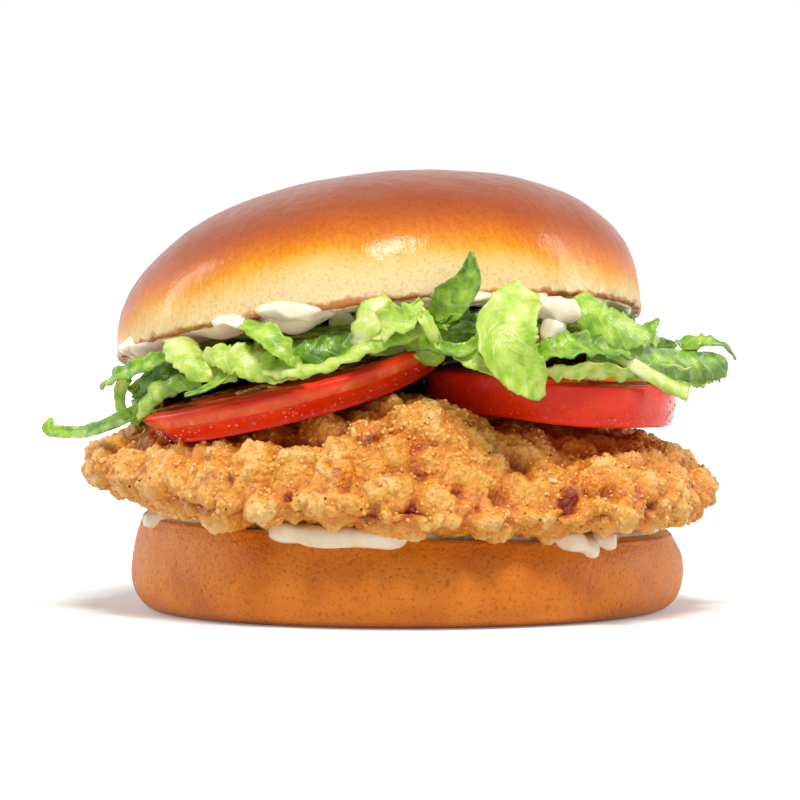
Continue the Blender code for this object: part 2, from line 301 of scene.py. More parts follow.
@dataclass(frozen=True)
class GlazedCrust:
    """Egg-glazed crust of an enriched bun.

    The oven browns the dome from the top down, so the colour runs from pale cream at the cut,
    through golden orange, to dark brown, and the thin glaze gives a broken, satin shine.
    """

    centre: Vector
    turn: tuple[float, float, float]
    browning: tuple[tuple[float, str], ...] = (
        (0.0, "#eed6a6"),
        (0.2, "#efd394"),
        (0.27, "#eec678"),
        (0.34, "#eaa836"),
        (0.39, "#e28a00"),
        (0.46, "#d37000"),
        (0.54, "#ba5600"),
        (0.63, "#a24600"),
        (0.8, "#924000"),
        (1.0, "#883e08"),
    )
    toasted: str = "#c9742a"
    crumb: str = "#edd3a0"
    range_mm: float = 31.0
    side_mm: float = 5.0
    wander_mm: float = 5.0
    streak_mm: float = 3.0

    def material(self) -> bpy.types.Material:
        """Builds the crust's material."""
        material, tree, shader = new_material("egg_glazed_bun_crust")
        coords = add_node(tree, "ShaderNodeTexCoord")
        local = add_node(
            tree,
            "ShaderNodeMapping",
            {"Vector": coords.outputs["Object"], "Location": self.centre, "Rotation": self.turn},
            vector_type="TEXTURE",
        )
        place = local.outputs["Vector"]
        parts = add_node(tree, "ShaderNodeSeparateXYZ", {"Vector": place})
        wander = add_node(
            tree, "ShaderNodeTexNoise", {"Vector": place, "Scale": per_metre(15), "Detail": 3.0}
        )
        stretched = add_node(
            tree, "ShaderNodeMapping", {"Vector": place, "Scale": (1.0, 1.0, 0.16)}
        )
        streaks = add_node(
            tree,
            "ShaderNodeTexNoise",
            {"Vector": stretched.outputs["Vector"], "Scale": per_metre(0.9), "Detail": 3.0},
        )
        wander_part = add_node(
            tree,
            "ShaderNodeMath",
            {0: wander.outputs["Fac"], 1: self.wander_mm * MM, 2: -0.5 * self.wander_mm * MM},
            operation="MULTIPLY_ADD",
        )
        streak_part = add_node(
            tree,
            "ShaderNodeMath",
            {0: streaks.outputs["Fac"], 1: self.streak_mm * MM, 2: wander_part.outputs[0]},
            operation="MULTIPLY_ADD",
        )
        aside = add_node(tree, "ShaderNodeMath", {0: parts.outputs["X"]}, operation="ABSOLUTE")
        side = add_node(
            tree,
            "ShaderNodeMapRange",
            {
                "Value": aside.outputs[0],
                "From Min": 10 * MM,
                "From Max": 50 * MM,
                "To Min": -1.4 * MM,
                "To Max": self.side_mm * MM,
            },
        )
        leaning = add_node(
            tree,
            "ShaderNodeMath",
            {0: side.outputs[0], 1: streak_part.outputs[0]},
            operation="ADD",
        )
        height = add_node(
            tree,
            "ShaderNodeMath",
            {0: parts.outputs["Z"], 1: leaning.outputs[0]},
            operation="ADD",
        )
        browned = add_node(
            tree,
            "ShaderNodeMapRange",
            {"Value": height.outputs[0], "From Min": 0.0, "From Max": self.range_mm * MM},
        )
        crust = add_node(
            tree, "ShaderNodeValToRGB", {"Fac": browned.outputs[0]}, stops=self.browning
        )
        freckles = add_node(
            tree, "ShaderNodeTexNoise", {"Vector": place, "Scale": per_metre(0.7), "Detail": 2.0}
        )
        freckle_tone = add_node(
            tree,
            "ShaderNodeValToRGB",
            {"Fac": freckles.outputs["Fac"]},
            stops=((0.3, "#c9b7a4"), (0.52, "#ffffff"), (1.0, "#ffffff")),
        )
        freckled = add_node(
            tree,
            "ShaderNodeMix",
            {0: 0.35, 6: crust.outputs["Color"], 7: freckle_tone.outputs["Color"]},
            data_type="RGBA",
            blend_type="MULTIPLY",
        )
        ragged = add_node(
            tree, "ShaderNodeTexNoise", {"Vector": place, "Scale": per_metre(2.5), "Detail": 4.0}
        )
        rim_height = add_node(
            tree,
            "ShaderNodeMath",
            {0: ragged.outputs["Fac"], 1: -3.6 * MM, 2: parts.outputs["Z"]},
            operation="MULTIPLY_ADD",
        )
        rim = add_node(
            tree,
            "ShaderNodeMapRange",
            {
                "Value": rim_height.outputs[0],
                "From Min": -0.7 * MM,
                "From Max": -1.5 * MM,
                "To Max": 0.9,
            },
        )
        edged = add_node(
            tree,
            "ShaderNodeMix",
            {0: rim.outputs[0], 6: freckled.outputs[2], 7: linear(self.toasted)},
            data_type="RGBA",
        )
        radius = add_node(
            tree,
            "ShaderNodeVectorMath",
            {0: place, 1: (1.0, 1.0, 0.0)},
            operation="MULTIPLY",
        )
        reach = add_node(
            tree, "ShaderNodeVectorMath", {0: radius.outputs[0]}, operation="LENGTH"
        )
        inside = add_node(
            tree,
            "ShaderNodeMapRange",
            {"Value": reach.outputs["Value"], "From Min": 50.2 * MM, "From Max": 49.0 * MM},
        )
        low = add_node(
            tree,
            "ShaderNodeMapRange",
            {"Value": parts.outputs["Z"], "From Min": 4.0 * MM, "From Max": 3.4 * MM},
        )
        cut_face = add_node(
            tree, "ShaderNodeMath", {0: inside.outputs[0], 1: low.outputs[0]}, operation="MULTIPLY"
        )
        coloured = add_node(
            tree,
            "ShaderNodeMix",
            {0: cut_face.outputs[0], 6: edged.outputs[2], 7: linear(self.crumb)},
            data_type="RGBA",
        )
        tree.links.new(coloured.outputs[2], shader.inputs["Base Color"])
        patches = add_node(
            tree, "ShaderNodeTexNoise", {"Vector": place, "Scale": per_metre(3), "Detail": 4.0}
        )
        shine = add_node(
            tree,
            "ShaderNodeMapRange",
            {"Value": patches.outputs["Fac"], "From Min": 0.3, "From Max": 0.7, "To Min": 0.36, "To Max": 0.54},
        )
        tree.links.new(shine.outputs[0], shader.inputs["Roughness"])
        pimples = add_node(
            tree, "ShaderNodeTexNoise", {"Vector": place, "Scale": per_metre(0.55), "Detail": 3.0}
        )
        relief = add_node(
            tree,
            "ShaderNodeBump",
            {"Height": pimples.outputs["Fac"], "Strength": 0.35, "Distance": 0.12 * MM},
        )
        brushed = add_node(
            tree,
            "ShaderNodeBump",
            {
                "Height": streaks.outputs["Fac"],
                "Strength": 0.3,
                "Distance": 0.15 * MM,
                "Normal": relief.outputs["Normal"],
            },
        )
        tree.links.new(brushed.outputs["Normal"], shader.inputs["Normal"])
        tree.links.new(brushed.outputs["Normal"], shader.inputs["Coat Normal"])
        shader.inputs["Specular IOR Level"].default_value = 0.12
        shader.inputs["Coat Weight"].default_value = 0.5
        shader.inputs["Coat IOR"].default_value = 1.38
        shader.inputs["Coat Roughness"].default_value = 0.16
        shader.inputs["Subsurface Weight"].default_value = 0.06
        shader.inputs["Subsurface Scale"].default_value = 2 * MM
        return material


@dataclass(frozen=True)
class SideCrust:
    """Baked side of a bun that stood in a pan: even orange brown, dull, full of small pores whose dips are darkened
    with painted shade.
    """

    base: str = "#dd7c14"
    light: str = "#e48a22"
    dark: str = "#c96a12"
    pit_shade: str = "#a04c0e"
    foot: str = "#a9541a"
    crumb: str = "#efd7a6"

    def material(self) -> bpy.types.Material:
        """Builds the side crust's material."""
        material, tree, shader = new_material("baked_bun_side_crust")
        coords = add_node(tree, "ShaderNodeTexCoord")
        place = coords.outputs["Object"]
        clouds = add_node(
            tree, "ShaderNodeTexNoise", {"Vector": place, "Scale": per_metre(11), "Detail": 4.0}
        )
        clouded = add_node(
            tree,
            "ShaderNodeValToRGB",
            {"Fac": clouds.outputs["Fac"]},
            stops=((0.3, self.dark), (0.5, self.base), (0.72, self.light)),
        )
        pores = add_node(
            tree, "ShaderNodeTexNoise", {"Vector": place, "Scale": per_metre(0.7), "Detail": 2.0}
        )
        # Painted shade: the pit colour darkens the dips of the pore bump.
        pit_shade_mask = add_node(
            tree,
            "ShaderNodeMapRange",
            {"Value": pores.outputs["Fac"], "From Min": 0.45, "From Max": 0.3, "To Max": 0.6},
        )
        pit_shaded = add_node(
            tree,
            "ShaderNodeMix",
            {0: pit_shade_mask.outputs[0], 6: clouded.outputs["Color"], 7: linear(self.pit_shade)},
            data_type="RGBA",
        )
        parts = add_node(tree, "ShaderNodeSeparateXYZ", {"Vector": place})
        inner = add_node(
            tree,
            "ShaderNodeAttribute",
            attribute_name="crumb",
        )
        coloured = add_node(
            tree,
            "ShaderNodeMix",
            {0: inner.outputs["Fac"], 6: pit_shaded.outputs[2], 7: linear(self.crumb)},
            data_type="RGBA",
        )
        low = add_node(
            tree,
            "ShaderNodeMapRange",
            {"Value": parts.outputs["Z"], "From Min": 1.6 * MM, "From Max": 0.2 * MM, "To Max": 0.55},
        )
        footed = add_node(
            tree,
            "ShaderNodeMix",
            {0: low.outputs[0], 6: coloured.outputs[2], 7: linear(self.foot)},
            data_type="RGBA",
        )
        tree.links.new(footed.outputs[2], shader.inputs["Base Color"])
        shine = add_node(
            tree,
            "ShaderNodeMapRange",
            {"Value": clouds.outputs["Fac"], "From Min": 0.3, "From Max": 0.7, "To Min": 0.36, "To Max": 0.5},
        )
        tree.links.new(shine.outputs[0], shader.inputs["Roughness"])
        relief = add_node(
            tree,
            "ShaderNodeBump",
            {"Height": pores.outputs["Fac"], "Strength": 0.8, "Distance": 0.35 * MM},
        )
        tree.links.new(relief.outputs["Normal"], shader.inputs["Normal"])
        shader.inputs["Specular IOR Level"].default_value = 0.3
        shader.inputs["Subsurface Weight"].default_value = 0.05
        shader.inputs["Subsurface Scale"].default_value = 2 * MM
        return material


@dataclass(frozen=True)
class FriedBreading:
    """Seasoned flour crust, deep fried.

    Its ridges are pale and floury, its flanks golden, and the creases are darkened to orange and dark red brown
    as painted shade; red brown spots mark thin places where oil and meat juice come through. Oil makes it slightly
    shiny.
    """

    # From crease to ridge: the dark low end is painted shade in the creases.
    shaded_depths: tuple[tuple[float, str], ...] = (
        (0.0, "#8c3410"),
        (0.14, "#b95c18"),
        (0.32, "#d98426"),
        (0.56, "#e39a32"),
        (0.8, "#eaac4a"),
        (1.0, "#f1c476"),
    )
    spot: str = "#b8401a"
    oily: str = "#e8920c"
    grain: tuple[tuple[float, str], ...] = ((0.25, "#c49a74"), (0.45, "#f6efe4"), (0.7, "#ffffff"))

    def material(self) -> bpy.types.Material:
        """Builds the breading's material."""
        material, tree, shader = new_material("fried_flour_breading")
        coords = add_node(tree, "ShaderNodeTexCoord")
        place = coords.outputs["Object"]
        depth = add_node(tree, "ShaderNodeAttribute", attribute_name="relief")
        mottle = add_node(
            tree, "ShaderNodeTexNoise", {"Vector": place, "Scale": per_metre(3.2), "Detail": 4.0}
        )
        mottled = add_node(
            tree,
            "ShaderNodeMath",
            {0: mottle.outputs["Fac"], 1: 0.55, 2: -0.275},
            operation="MULTIPLY_ADD",
        )
        shade = add_node(
            tree,
            "ShaderNodeMath",
            {0: depth.outputs["Fac"], 1: mottled.outputs[0]},
            operation="ADD",
        )
        # Painted shade: the colour darkens with the relief's depth, so the creases are painted dark.
        crust = add_node(tree, "ShaderNodeValToRGB", {"Fac": shade.outputs[0]}, stops=self.shaded_depths)
        patches = add_node(
            tree, "ShaderNodeTexNoise", {"Vector": place, "Scale": per_metre(9), "Detail": 3.0}
        )
        oily = add_node(
            tree,
            "ShaderNodeMapRange",
            {"Value": patches.outputs["Fac"], "From Min": 0.52, "From Max": 0.7, "To Max": 0.65},
        )
        golden = add_node(
            tree,
            "ShaderNodeMix",
            {0: oily.outputs[0], 6: crust.outputs["Color"], 7: linear(self.oily)},
            data_type="RGBA",
        )
        shifted = add_node(
            tree, "ShaderNodeMapping", {"Vector": place, "Location": (0.31, 0.17, 0.53)}
        )
        blots = add_node(
            tree,
            "ShaderNodeTexNoise",
            {"Vector": shifted.outputs["Vector"], "Scale": per_metre(6), "Detail": 5.0},
        )
        spots = add_node(
            tree,
            "ShaderNodeMapRange",
            {"Value": blots.outputs["Fac"], "From Min": 0.62, "From Max": 0.72, "To Max": 0.8},
        )
        spotted = add_node(
            tree,
            "ShaderNodeMix",
            {0: spots.outputs[0], 6: golden.outputs[2], 7: linear(self.spot)},
            data_type="RGBA",
        )
        grains = add_node(
            tree, "ShaderNodeTexNoise", {"Vector": place, "Scale": per_metre(0.8), "Detail": 3.0}
        )
        grain_tone = add_node(
            tree, "ShaderNodeValToRGB", {"Fac": grains.outputs["Fac"]}, stops=self.grain
        )
        grained = add_node(
            tree,
            "ShaderNodeMix",
            {0: 0.8, 6: spotted.outputs[2], 7: grain_tone.outputs["Color"]},
            data_type="RGBA",
            blend_type="MULTIPLY",
        )
        tree.links.new(grained.outputs[2], shader.inputs["Base Color"])
        shine = add_node(
            tree,
            "ShaderNodeMapRange",
            {"Value": grains.outputs["Fac"], "From Min": 0.3, "From Max": 0.7, "To Min": 0.3, "To Max": 0.6},
        )
        tree.links.new(shine.outputs[0], shader.inputs["Roughness"])
        granules = add_node(
            tree, "ShaderNodeTexVoronoi", {"Vector": place, "Scale": per_metre(0.95)}
        )
        granular = add_node(
            tree,
            "ShaderNodeBump",
            {"Height": granules.outputs["Distance"], "Strength": 0.7, "Distance": 0.4 * MM},
            invert=True,
        )
        relief = add_node(
            tree,
            "ShaderNodeBump",
            {
                "Height": grains.outputs["Fac"],
                "Strength": 0.8,
                "Distance": 0.4 * MM,
                "Normal": granular.outputs["Normal"],
            },
        )
        tree.links.new(relief.outputs["Normal"], shader.inputs["Normal"])
        shader.inputs["Subsurface Weight"].default_value = 0.08
        shader.inputs["Subsurface Scale"].default_value = 1.5 * MM
        return material


@dataclass(frozen=True)
class FreshTomato:
    """Ripe tomato, sliced: taut waxy skin on the wall, wet juicy flesh on the cut faces."""

    skin: tuple[tuple[float, str], ...] = ((0.25, "#de2406"), (0.5, "#ea300a"), (0.75, "#f04416"))
    flesh: tuple[tuple[float, str], ...] = ((0.25, "#e8481a"), (0.55, "#f0642c"), (0.8, "#f68c50"))
    gel: str = "#dc5f20"

    def material(self) -> bpy.types.Material:
        """Builds the tomato's material."""
        material, tree, shader = new_material("fresh_tomato")
        coords = add_node(tree, "ShaderNodeTexCoord")
        place = coords.outputs["Object"]
        cloud = add_node(
            tree, "ShaderNodeTexNoise", {"Vector": place, "Scale": per_metre(7), "Detail": 4.0}
        )
        wall = add_node(
            tree, "ShaderNodeValToRGB", {"Fac": cloud.outputs["Fac"]}, stops=self.skin
        )
        fibres = add_node(
            tree, "ShaderNodeTexNoise", {"Vector": place, "Scale": per_metre(2.2), "Detail": 5.0}
        )
        cut = add_node(
            tree, "ShaderNodeValToRGB", {"Fac": fibres.outputs["Fac"]}, stops=self.flesh
        )
        skin = add_node(tree, "ShaderNodeAttribute", attribute_name="skin")
        gel = add_node(tree, "ShaderNodeAttribute", attribute_name="gel")
        juicy = add_node(
            tree,
            "ShaderNodeMix",
            {0: gel.outputs["Fac"], 6: cut.outputs["Color"], 7: linear(self.gel)},
            data_type="RGBA",
        )
        coloured = add_node(
            tree,
            "ShaderNodeMix",
            {0: skin.outputs["Fac"], 6: juicy.outputs[2], 7: wall.outputs["Color"]},
            data_type="RGBA",
        )
        tree.links.new(coloured.outputs[2], shader.inputs["Base Color"])
        specks = add_node(
            tree, "ShaderNodeTexNoise", {"Vector": place, "Scale": per_metre(0.7), "Detail": 2.0}
        )
        shine = add_node(
            tree,
            "ShaderNodeMapRange",
            {"Value": specks.outputs["Fac"], "From Min": 0.35, "From Max": 0.65, "To Min": 0.1, "To Max": 0.26},
        )
        tree.links.new(shine.outputs[0], shader.inputs["Roughness"])
        relief = add_node(
            tree,
            "ShaderNodeBump",
            {"Height": specks.outputs["Fac"], "Strength": 0.5, "Distance": 0.2 * MM},
        )
        tree.links.new(relief.outputs["Normal"], shader.inputs["Normal"])
        shader.inputs["Specular IOR Level"].default_value = 0.2
        shader.inputs["Subsurface Weight"].default_value = 0.15
        shader.inputs["Subsurface Radius"].default_value = (1.0, 0.25, 0.15)
        shader.inputs["Subsurface Scale"].default_value = 1.5 * MM
        return material


@dataclass(frozen=True)
class Mayonnaise:
    """Thick egg and oil dressing: creamy, slightly translucent, with a soft wet shine."""

    cream: tuple[tuple[float, str], ...] = ((0.3, "#f3e4c0"), (0.6, "#faf0d6"), (0.9, "#fef7e4"))

    def material(self) -> bpy.types.Material:
        """Builds the dressing's material."""
        material, tree, shader = new_material("mayonnaise")
        coords = add_node(tree, "ShaderNodeTexCoord")
        swirl = add_node(
            tree,
            "ShaderNodeTexNoise",
            {"Vector": coords.outputs["Object"], "Scale": per_metre(4), "Detail": 3.0, "Distortion": 0.6},
        )
        cream = add_node(
            tree, "ShaderNodeValToRGB", {"Fac": swirl.outputs["Fac"]}, stops=self.cream
        )
        tree.links.new(cream.outputs["Color"], shader.inputs["Base Color"])
        relief = add_node(
            tree,
            "ShaderNodeBump",
            {"Height": swirl.outputs["Fac"], "Strength": 0.3, "Distance": 0.3 * MM},
        )
        tree.links.new(relief.outputs["Normal"], shader.inputs["Normal"])
        shader.inputs["Roughness"].default_value = 0.28
        shader.inputs["Subsurface Weight"].default_value = 0.25
        shader.inputs["Subsurface Radius"].default_value = (1.0, 0.8, 0.5)
        shader.inputs["Subsurface Scale"].default_value = 1.2 * MM
        return material


@dataclass(frozen=True)
class LettuceLeaf:
    """Crisp torn lettuce: white to yellow near the rib, fresh green at the frilled edge.

    Faint slanting side veins cross it, and the blistered skin between them has a waxy
    shine and lets some light through.
    """

    tones: tuple[tuple[float, str], ...] = (
        (0.0, "#f0f0c6"),
        (0.2, "#e0e79c"),
        (0.4, "#c6da62"),
        (0.6, "#a2c636"),
        (0.8, "#7ca822"),
        (1.0, "#4d7a14"),
    )
    rib: str = "#e3ecc0"
    vein_spacing_mm: float = 3.4
    blister_mm: float = 1.3

    def material(self) -> bpy.types.Material:
        """Builds the leaf's material."""
        material, tree, shader = new_material("crisp_lettuce")
        leaf = add_node(tree, "ShaderNodeAttribute", attribute_name="leaf_place")
        tone = add_node(tree, "ShaderNodeAttribute", attribute_name="tone")
        place = leaf.outputs["Vector"]
        parts = add_node(tree, "ShaderNodeSeparateXYZ", {"Vector": place})
        aside = add_node(tree, "ShaderNodeMath", {0: parts.outputs["Y"]}, operation="ABSOLUTE")
        slanted = add_node(
            tree,
            "ShaderNodeMath",
            {0: aside.outputs[0], 1: -1.3, 2: parts.outputs["X"]},
            operation="MULTIPLY_ADD",
        )
        along = add_node(
            tree,
            "ShaderNodeCombineXYZ",
            {"X": slanted.outputs[0], "Y": parts.outputs["Y"], "Z": parts.outputs["Z"]},
        )
        side_veins = add_node(
            tree,
            "ShaderNodeTexWave",
            {
                "Vector": along.outputs[0],
                "Scale": math.tau / 20 / self.vein_spacing_mm,
                "Distortion": 5.0,
                "Detail": 2.0,
                "Detail Scale": 2.0,
            },
        )
        blotch = add_node(
            tree, "ShaderNodeTexNoise", {"Vector": place, "Scale": 1 / 2.6, "Detail": 4.0}
        )
        varied = add_node(
            tree,
            "ShaderNodeMath",
            {0: blotch.outputs["Fac"], 1: 1.1, 2: -0.52},
            operation="MULTIPLY_ADD",
        )
        shade = add_node(
            tree, "ShaderNodeMath", {0: tone.outputs["Fac"], 1: varied.outputs[0]}, operation="ADD"
        )
        green = add_node(tree, "ShaderNodeValToRGB", {"Fac": shade.outputs[0]}, stops=self.tones)
        veins = add_node(
            tree,
            "ShaderNodeMapRange",
            {"Value": side_veins.outputs["Fac"], "From Min": 0.85, "From Max": 1.0, "To Max": 0.16},
        )
        veined = add_node(
            tree,
            "ShaderNodeMix",
            {0: veins.outputs[0], 6: green.outputs["Color"], 7: linear(self.rib)},
            data_type="RGBA",
        )
        tree.links.new(veined.outputs[2], shader.inputs["Base Color"])
        blisters = add_node(
            tree,
            "ShaderNodeTexNoise",
            {"Vector": place, "Scale": 1 / self.blister_mm, "Detail": 2.0, "Distortion": 0.4},
        )
        ribbed = add_node(
            tree,
            "ShaderNodeBump",
            {"Height": veins.outputs[0], "Strength": 0.5, "Distance": 0.5 * MM},
        )
        relief = add_node(
            tree,
            "ShaderNodeBump",
            {
                "Height": blisters.outputs["Fac"],
                "Strength": 0.6,
                "Distance": 0.5 * MM,
                "Normal": ribbed.outputs["Normal"],
            },
        )
        tree.links.new(relief.outputs["Normal"], shader.inputs["Normal"])
        shine = add_node(
            tree,
            "ShaderNodeMapRange",
            {"Value": blotch.outputs["Fac"], "From Min": 0.3, "From Max": 0.7, "To Min": 0.24, "To Max": 0.42},
        )
        tree.links.new(shine.outputs[0], shader.inputs["Roughness"])
        shader.inputs["Specular IOR Level"].default_value = 0.4
        shader.inputs["Subsurface Weight"].default_value = 0.3
        shader.inputs["Subsurface Radius"].default_value = (0.6, 1.0, 0.2)
        shader.inputs["Subsurface Scale"].default_value = 0.8 * MM
        return material


@dataclass(frozen=True)
class SpeckledSolid:
    """A small bit of food, such as crumb, pepper or herb, whose colour varies from bit to bit."""

    name: str
    colours: tuple[tuple[float, str], ...]
    patch_mm: float
    roughness: float = 0.5

    def material(self) -> bpy.types.Material:
        """Builds the bits' material."""
        material, tree, shader = new_material(self.name)
        coords = add_node(tree, "ShaderNodeTexCoord")
        patches = add_node(
            tree,
            "ShaderNodeTexNoise",
            {"Vector": coords.outputs["Object"], "Scale": per_metre(self.patch_mm), "Detail": 3.0},
        )
        colour = add_node(
            tree, "ShaderNodeValToRGB", {"Fac": patches.outputs["Fac"]}, stops=self.colours
        )
        tree.links.new(colour.outputs["Color"], shader.inputs["Base Color"])
        relief = add_node(
            tree,
            "ShaderNodeBump",
            {"Height": patches.outputs["Fac"], "Strength": 0.4, "Distance": 0.2 * MM},
        )
        tree.links.new(relief.outputs["Normal"], shader.inputs["Normal"])
        shader.inputs["Roughness"].default_value = self.roughness
        return material


@dataclass(frozen=True)
class Water:
    """Clear water, as drops on wet tomato: bright points of light with red showing through."""

    def material(self) -> bpy.types.Material:
        """Builds the water's material."""
        material, _, shader = new_material("clear_water")
        shader.inputs["Base Color"].default_value = (1.0, 1.0, 1.0, 1.0)
        shader.inputs["Roughness"].default_value = 0.02
        shader.inputs["IOR"].default_value = 1.33
        shader.inputs["Transmission Weight"].default_value = 1.0
        return material


# ---------------------------------------------------------------- bun


@dataclass
class BunBottom:
    """The bottom half: flat base, rounded foot, and a wall that leans in to a sloping cut."""

    radius: float = 54 * MM
    base_radius: float = 48.5 * MM
    cut_radius: float = 52 * MM
    widest_z: float = 7.5 * MM
    cut_z: float = 17 * MM
    cut_slope: float = -0.037
    lip: float = 1.0 * MM
    segments: int = 640
    swell: float = 0.35 * MM
    pore_depth: float = 0.14 * MM
    finish: SideCrust = field(default_factory=SideCrust)

    def profile(self) -> list[tuple[float, float]]:
        """The half outline from the middle of the base, up the wall, to the middle of the cut."""
        base_steps, foot_steps, wall_steps, lip_steps, top_steps = 6, 18, 26, 6, 12
        points = [(self.base_radius * s / base_steps, 0.0) for s in range(base_steps)]
        for step in range(foot_steps + 1):
            turn = math.radians(90) * step / foot_steps
            reach = self.base_radius + (self.radius - self.base_radius) * math.sin(turn)
            points.append((reach, self.widest_z * (1 - math.cos(turn))))
        wall_top = self.cut_z - self.lip
        for step in range(1, wall_steps + 1):
            share = step / wall_steps
            lean = (self.radius - self.cut_radius) * share**2
            points.append((self.radius - lean, self.widest_z + (wall_top - self.widest_z) * share))
        for step in range(1, lip_steps + 1):
            turn = math.radians(90) * step / lip_steps
            inward = self.lip * (1 - math.cos(turn))
            points.append((self.cut_radius - inward, wall_top + self.lip * math.sin(turn)))
        top_radius = self.cut_radius - self.lip
        points += [(top_radius * (1 - s / top_steps), self.cut_z) for s in range(1, top_steps + 1)]
        return points

    def relief(self, point: Vector) -> float:
        """How far the wall stands out here: soft swells and small pores."""
        swell = self.swell * rough(point, 16 * MM, 2)
        pores = noise.noise(point / (0.7 * MM))
        return swell - self.pore_depth * smooth_step(-pores, 0.12, 0.5)

    def build(self) -> bpy.types.Object:
        """Builds and dresses the bottom half."""
        bm = turned(self.profile(), self.segments)
        crumb = bm.verts.layers.float.new("crumb")
        for vert in bm.verts:
            reach = math.hypot(vert.co.x, vert.co.y)
            on_top = vert.co.z > self.cut_z - 0.05 * MM and reach < self.cut_radius
            vert[crumb] = 1.0 if on_top else 0.0
            if vert.co.z > 0.3 * MM and not on_top:
                outward = Vector((vert.co.x, vert.co.y, 0)).normalized()
                vert.co += outward * self.relief(vert.co)
            vert.co.z += self.cut_slope * vert.co.x * smooth_step(vert.co.z, self.widest_z, self.cut_z)
        return finish_piece(
            "bun_bottom_crust", bm, self.finish.material(), ["bun_bottom"]
        )


@dataclass
class BunTop:
    """The domed top half, which leans back and down to the left on the filling."""

    radius: float = 51.5 * MM
    height: float = 30.5 * MM
    centre: Vector = field(default_factory=lambda: Vector((-5.3, 0.5, 53.1)) * MM)
    roll: float = math.radians(-5.45)
    pitch: float = math.radians(-9.2)
    rounding: float = 2.4
    fuller_side: float = 0.25
    dish: float = 3 * MM
    lip: float = 0.9 * MM
    segments: int = 480

    def matrix(self) -> Matrix:
        """Where the top half sits: its own origin is the middle of its cut plane."""
        turn = Matrix.Rotation(self.roll, 4, "Y") @ Matrix.Rotation(self.pitch, 4, "X")
        return Matrix.Translation(self.centre) @ turn

    def profile(self) -> list[tuple[float, float]]:
        """From the dished cut face, round the lip and up the dome to its top."""
        face_steps, lip_steps, dome_steps = 14, 6, 84
        edge = self.radius - self.lip
        points = []
        for step in range(face_steps + 1):
            share = step / face_steps
            points.append((edge * share, self.dish * (1 - share**2)))
        for step in range(1, lip_steps):
            turn = math.radians(90) * step / lip_steps
            points.append((edge + self.lip * math.sin(turn), self.lip * (1 - math.cos(turn))))
        for step in range(dome_steps):
            turn = math.radians(90) * step / dome_steps
            share = math.sin(turn) ** (2 / self.rounding)
            z = self.lip + (self.height - self.lip) * share
            points.append((self.radius * superellipse(share, self.rounding), z))
        points.append((0.0, self.height))
        return points

    def fuller(self, point: Vector) -> Vector:
        """Makes the dome fuller on its +X side."""
        reach = math.hypot(point.x, point.y)
        share = (point.z - self.lip) / (self.height - self.lip)
        if share <= 0 or reach < 1e-6 or (reach < self.radius * 0.94 and share < 0.1):
            return point
        exponent = self.rounding + self.fuller_side * point.x / reach
        grown = self.radius * superellipse(share, exponent) / reach
        return Vector((point.x * grown, point.y * grown, point.z))

    def relief(self, point: Vector) -> float:
        """How far the crust stands out here: soft dents, wrinkles and a crumbly cut edge."""
        dents = 0.45 * MM * rough(point, 24 * MM, 2)
        skin = 0.05 * MM * rough(point, 2.2 * MM, 3)
        pimples = 0.035 * MM * noise.noise(point / (0.8 * MM))
        near_edge = 1 - smooth_step(point.z, 0.6 * MM, 1.8 * MM)
        crumbs = 0.45 * MM * near_edge * rough(point, 1.6 * MM, 3)
        return dents + skin + pimples + crumbs

    def build(self) -> bpy.types.Object:
        """Builds and dresses the top half."""
        bm = turned(self.profile(), self.segments)
        for vert in bm.verts:
            vert.co = self.fuller(vert.co)
        bm.normal_update()
        moved = [vert.co + vert.normal * self.relief(vert.co) for vert in bm.verts]
        place = self.matrix()
        for vert, target in zip(bm.verts, moved):
            vert.co = place @ target
        finish = GlazedCrust(centre=self.centre, turn=(self.pitch, self.roll, 0.0))
        return finish_piece(
            "bun_top_crust", bm, finish.material(), ["bun_top"]
        )


# ---------------------------------------------------------------- chicken


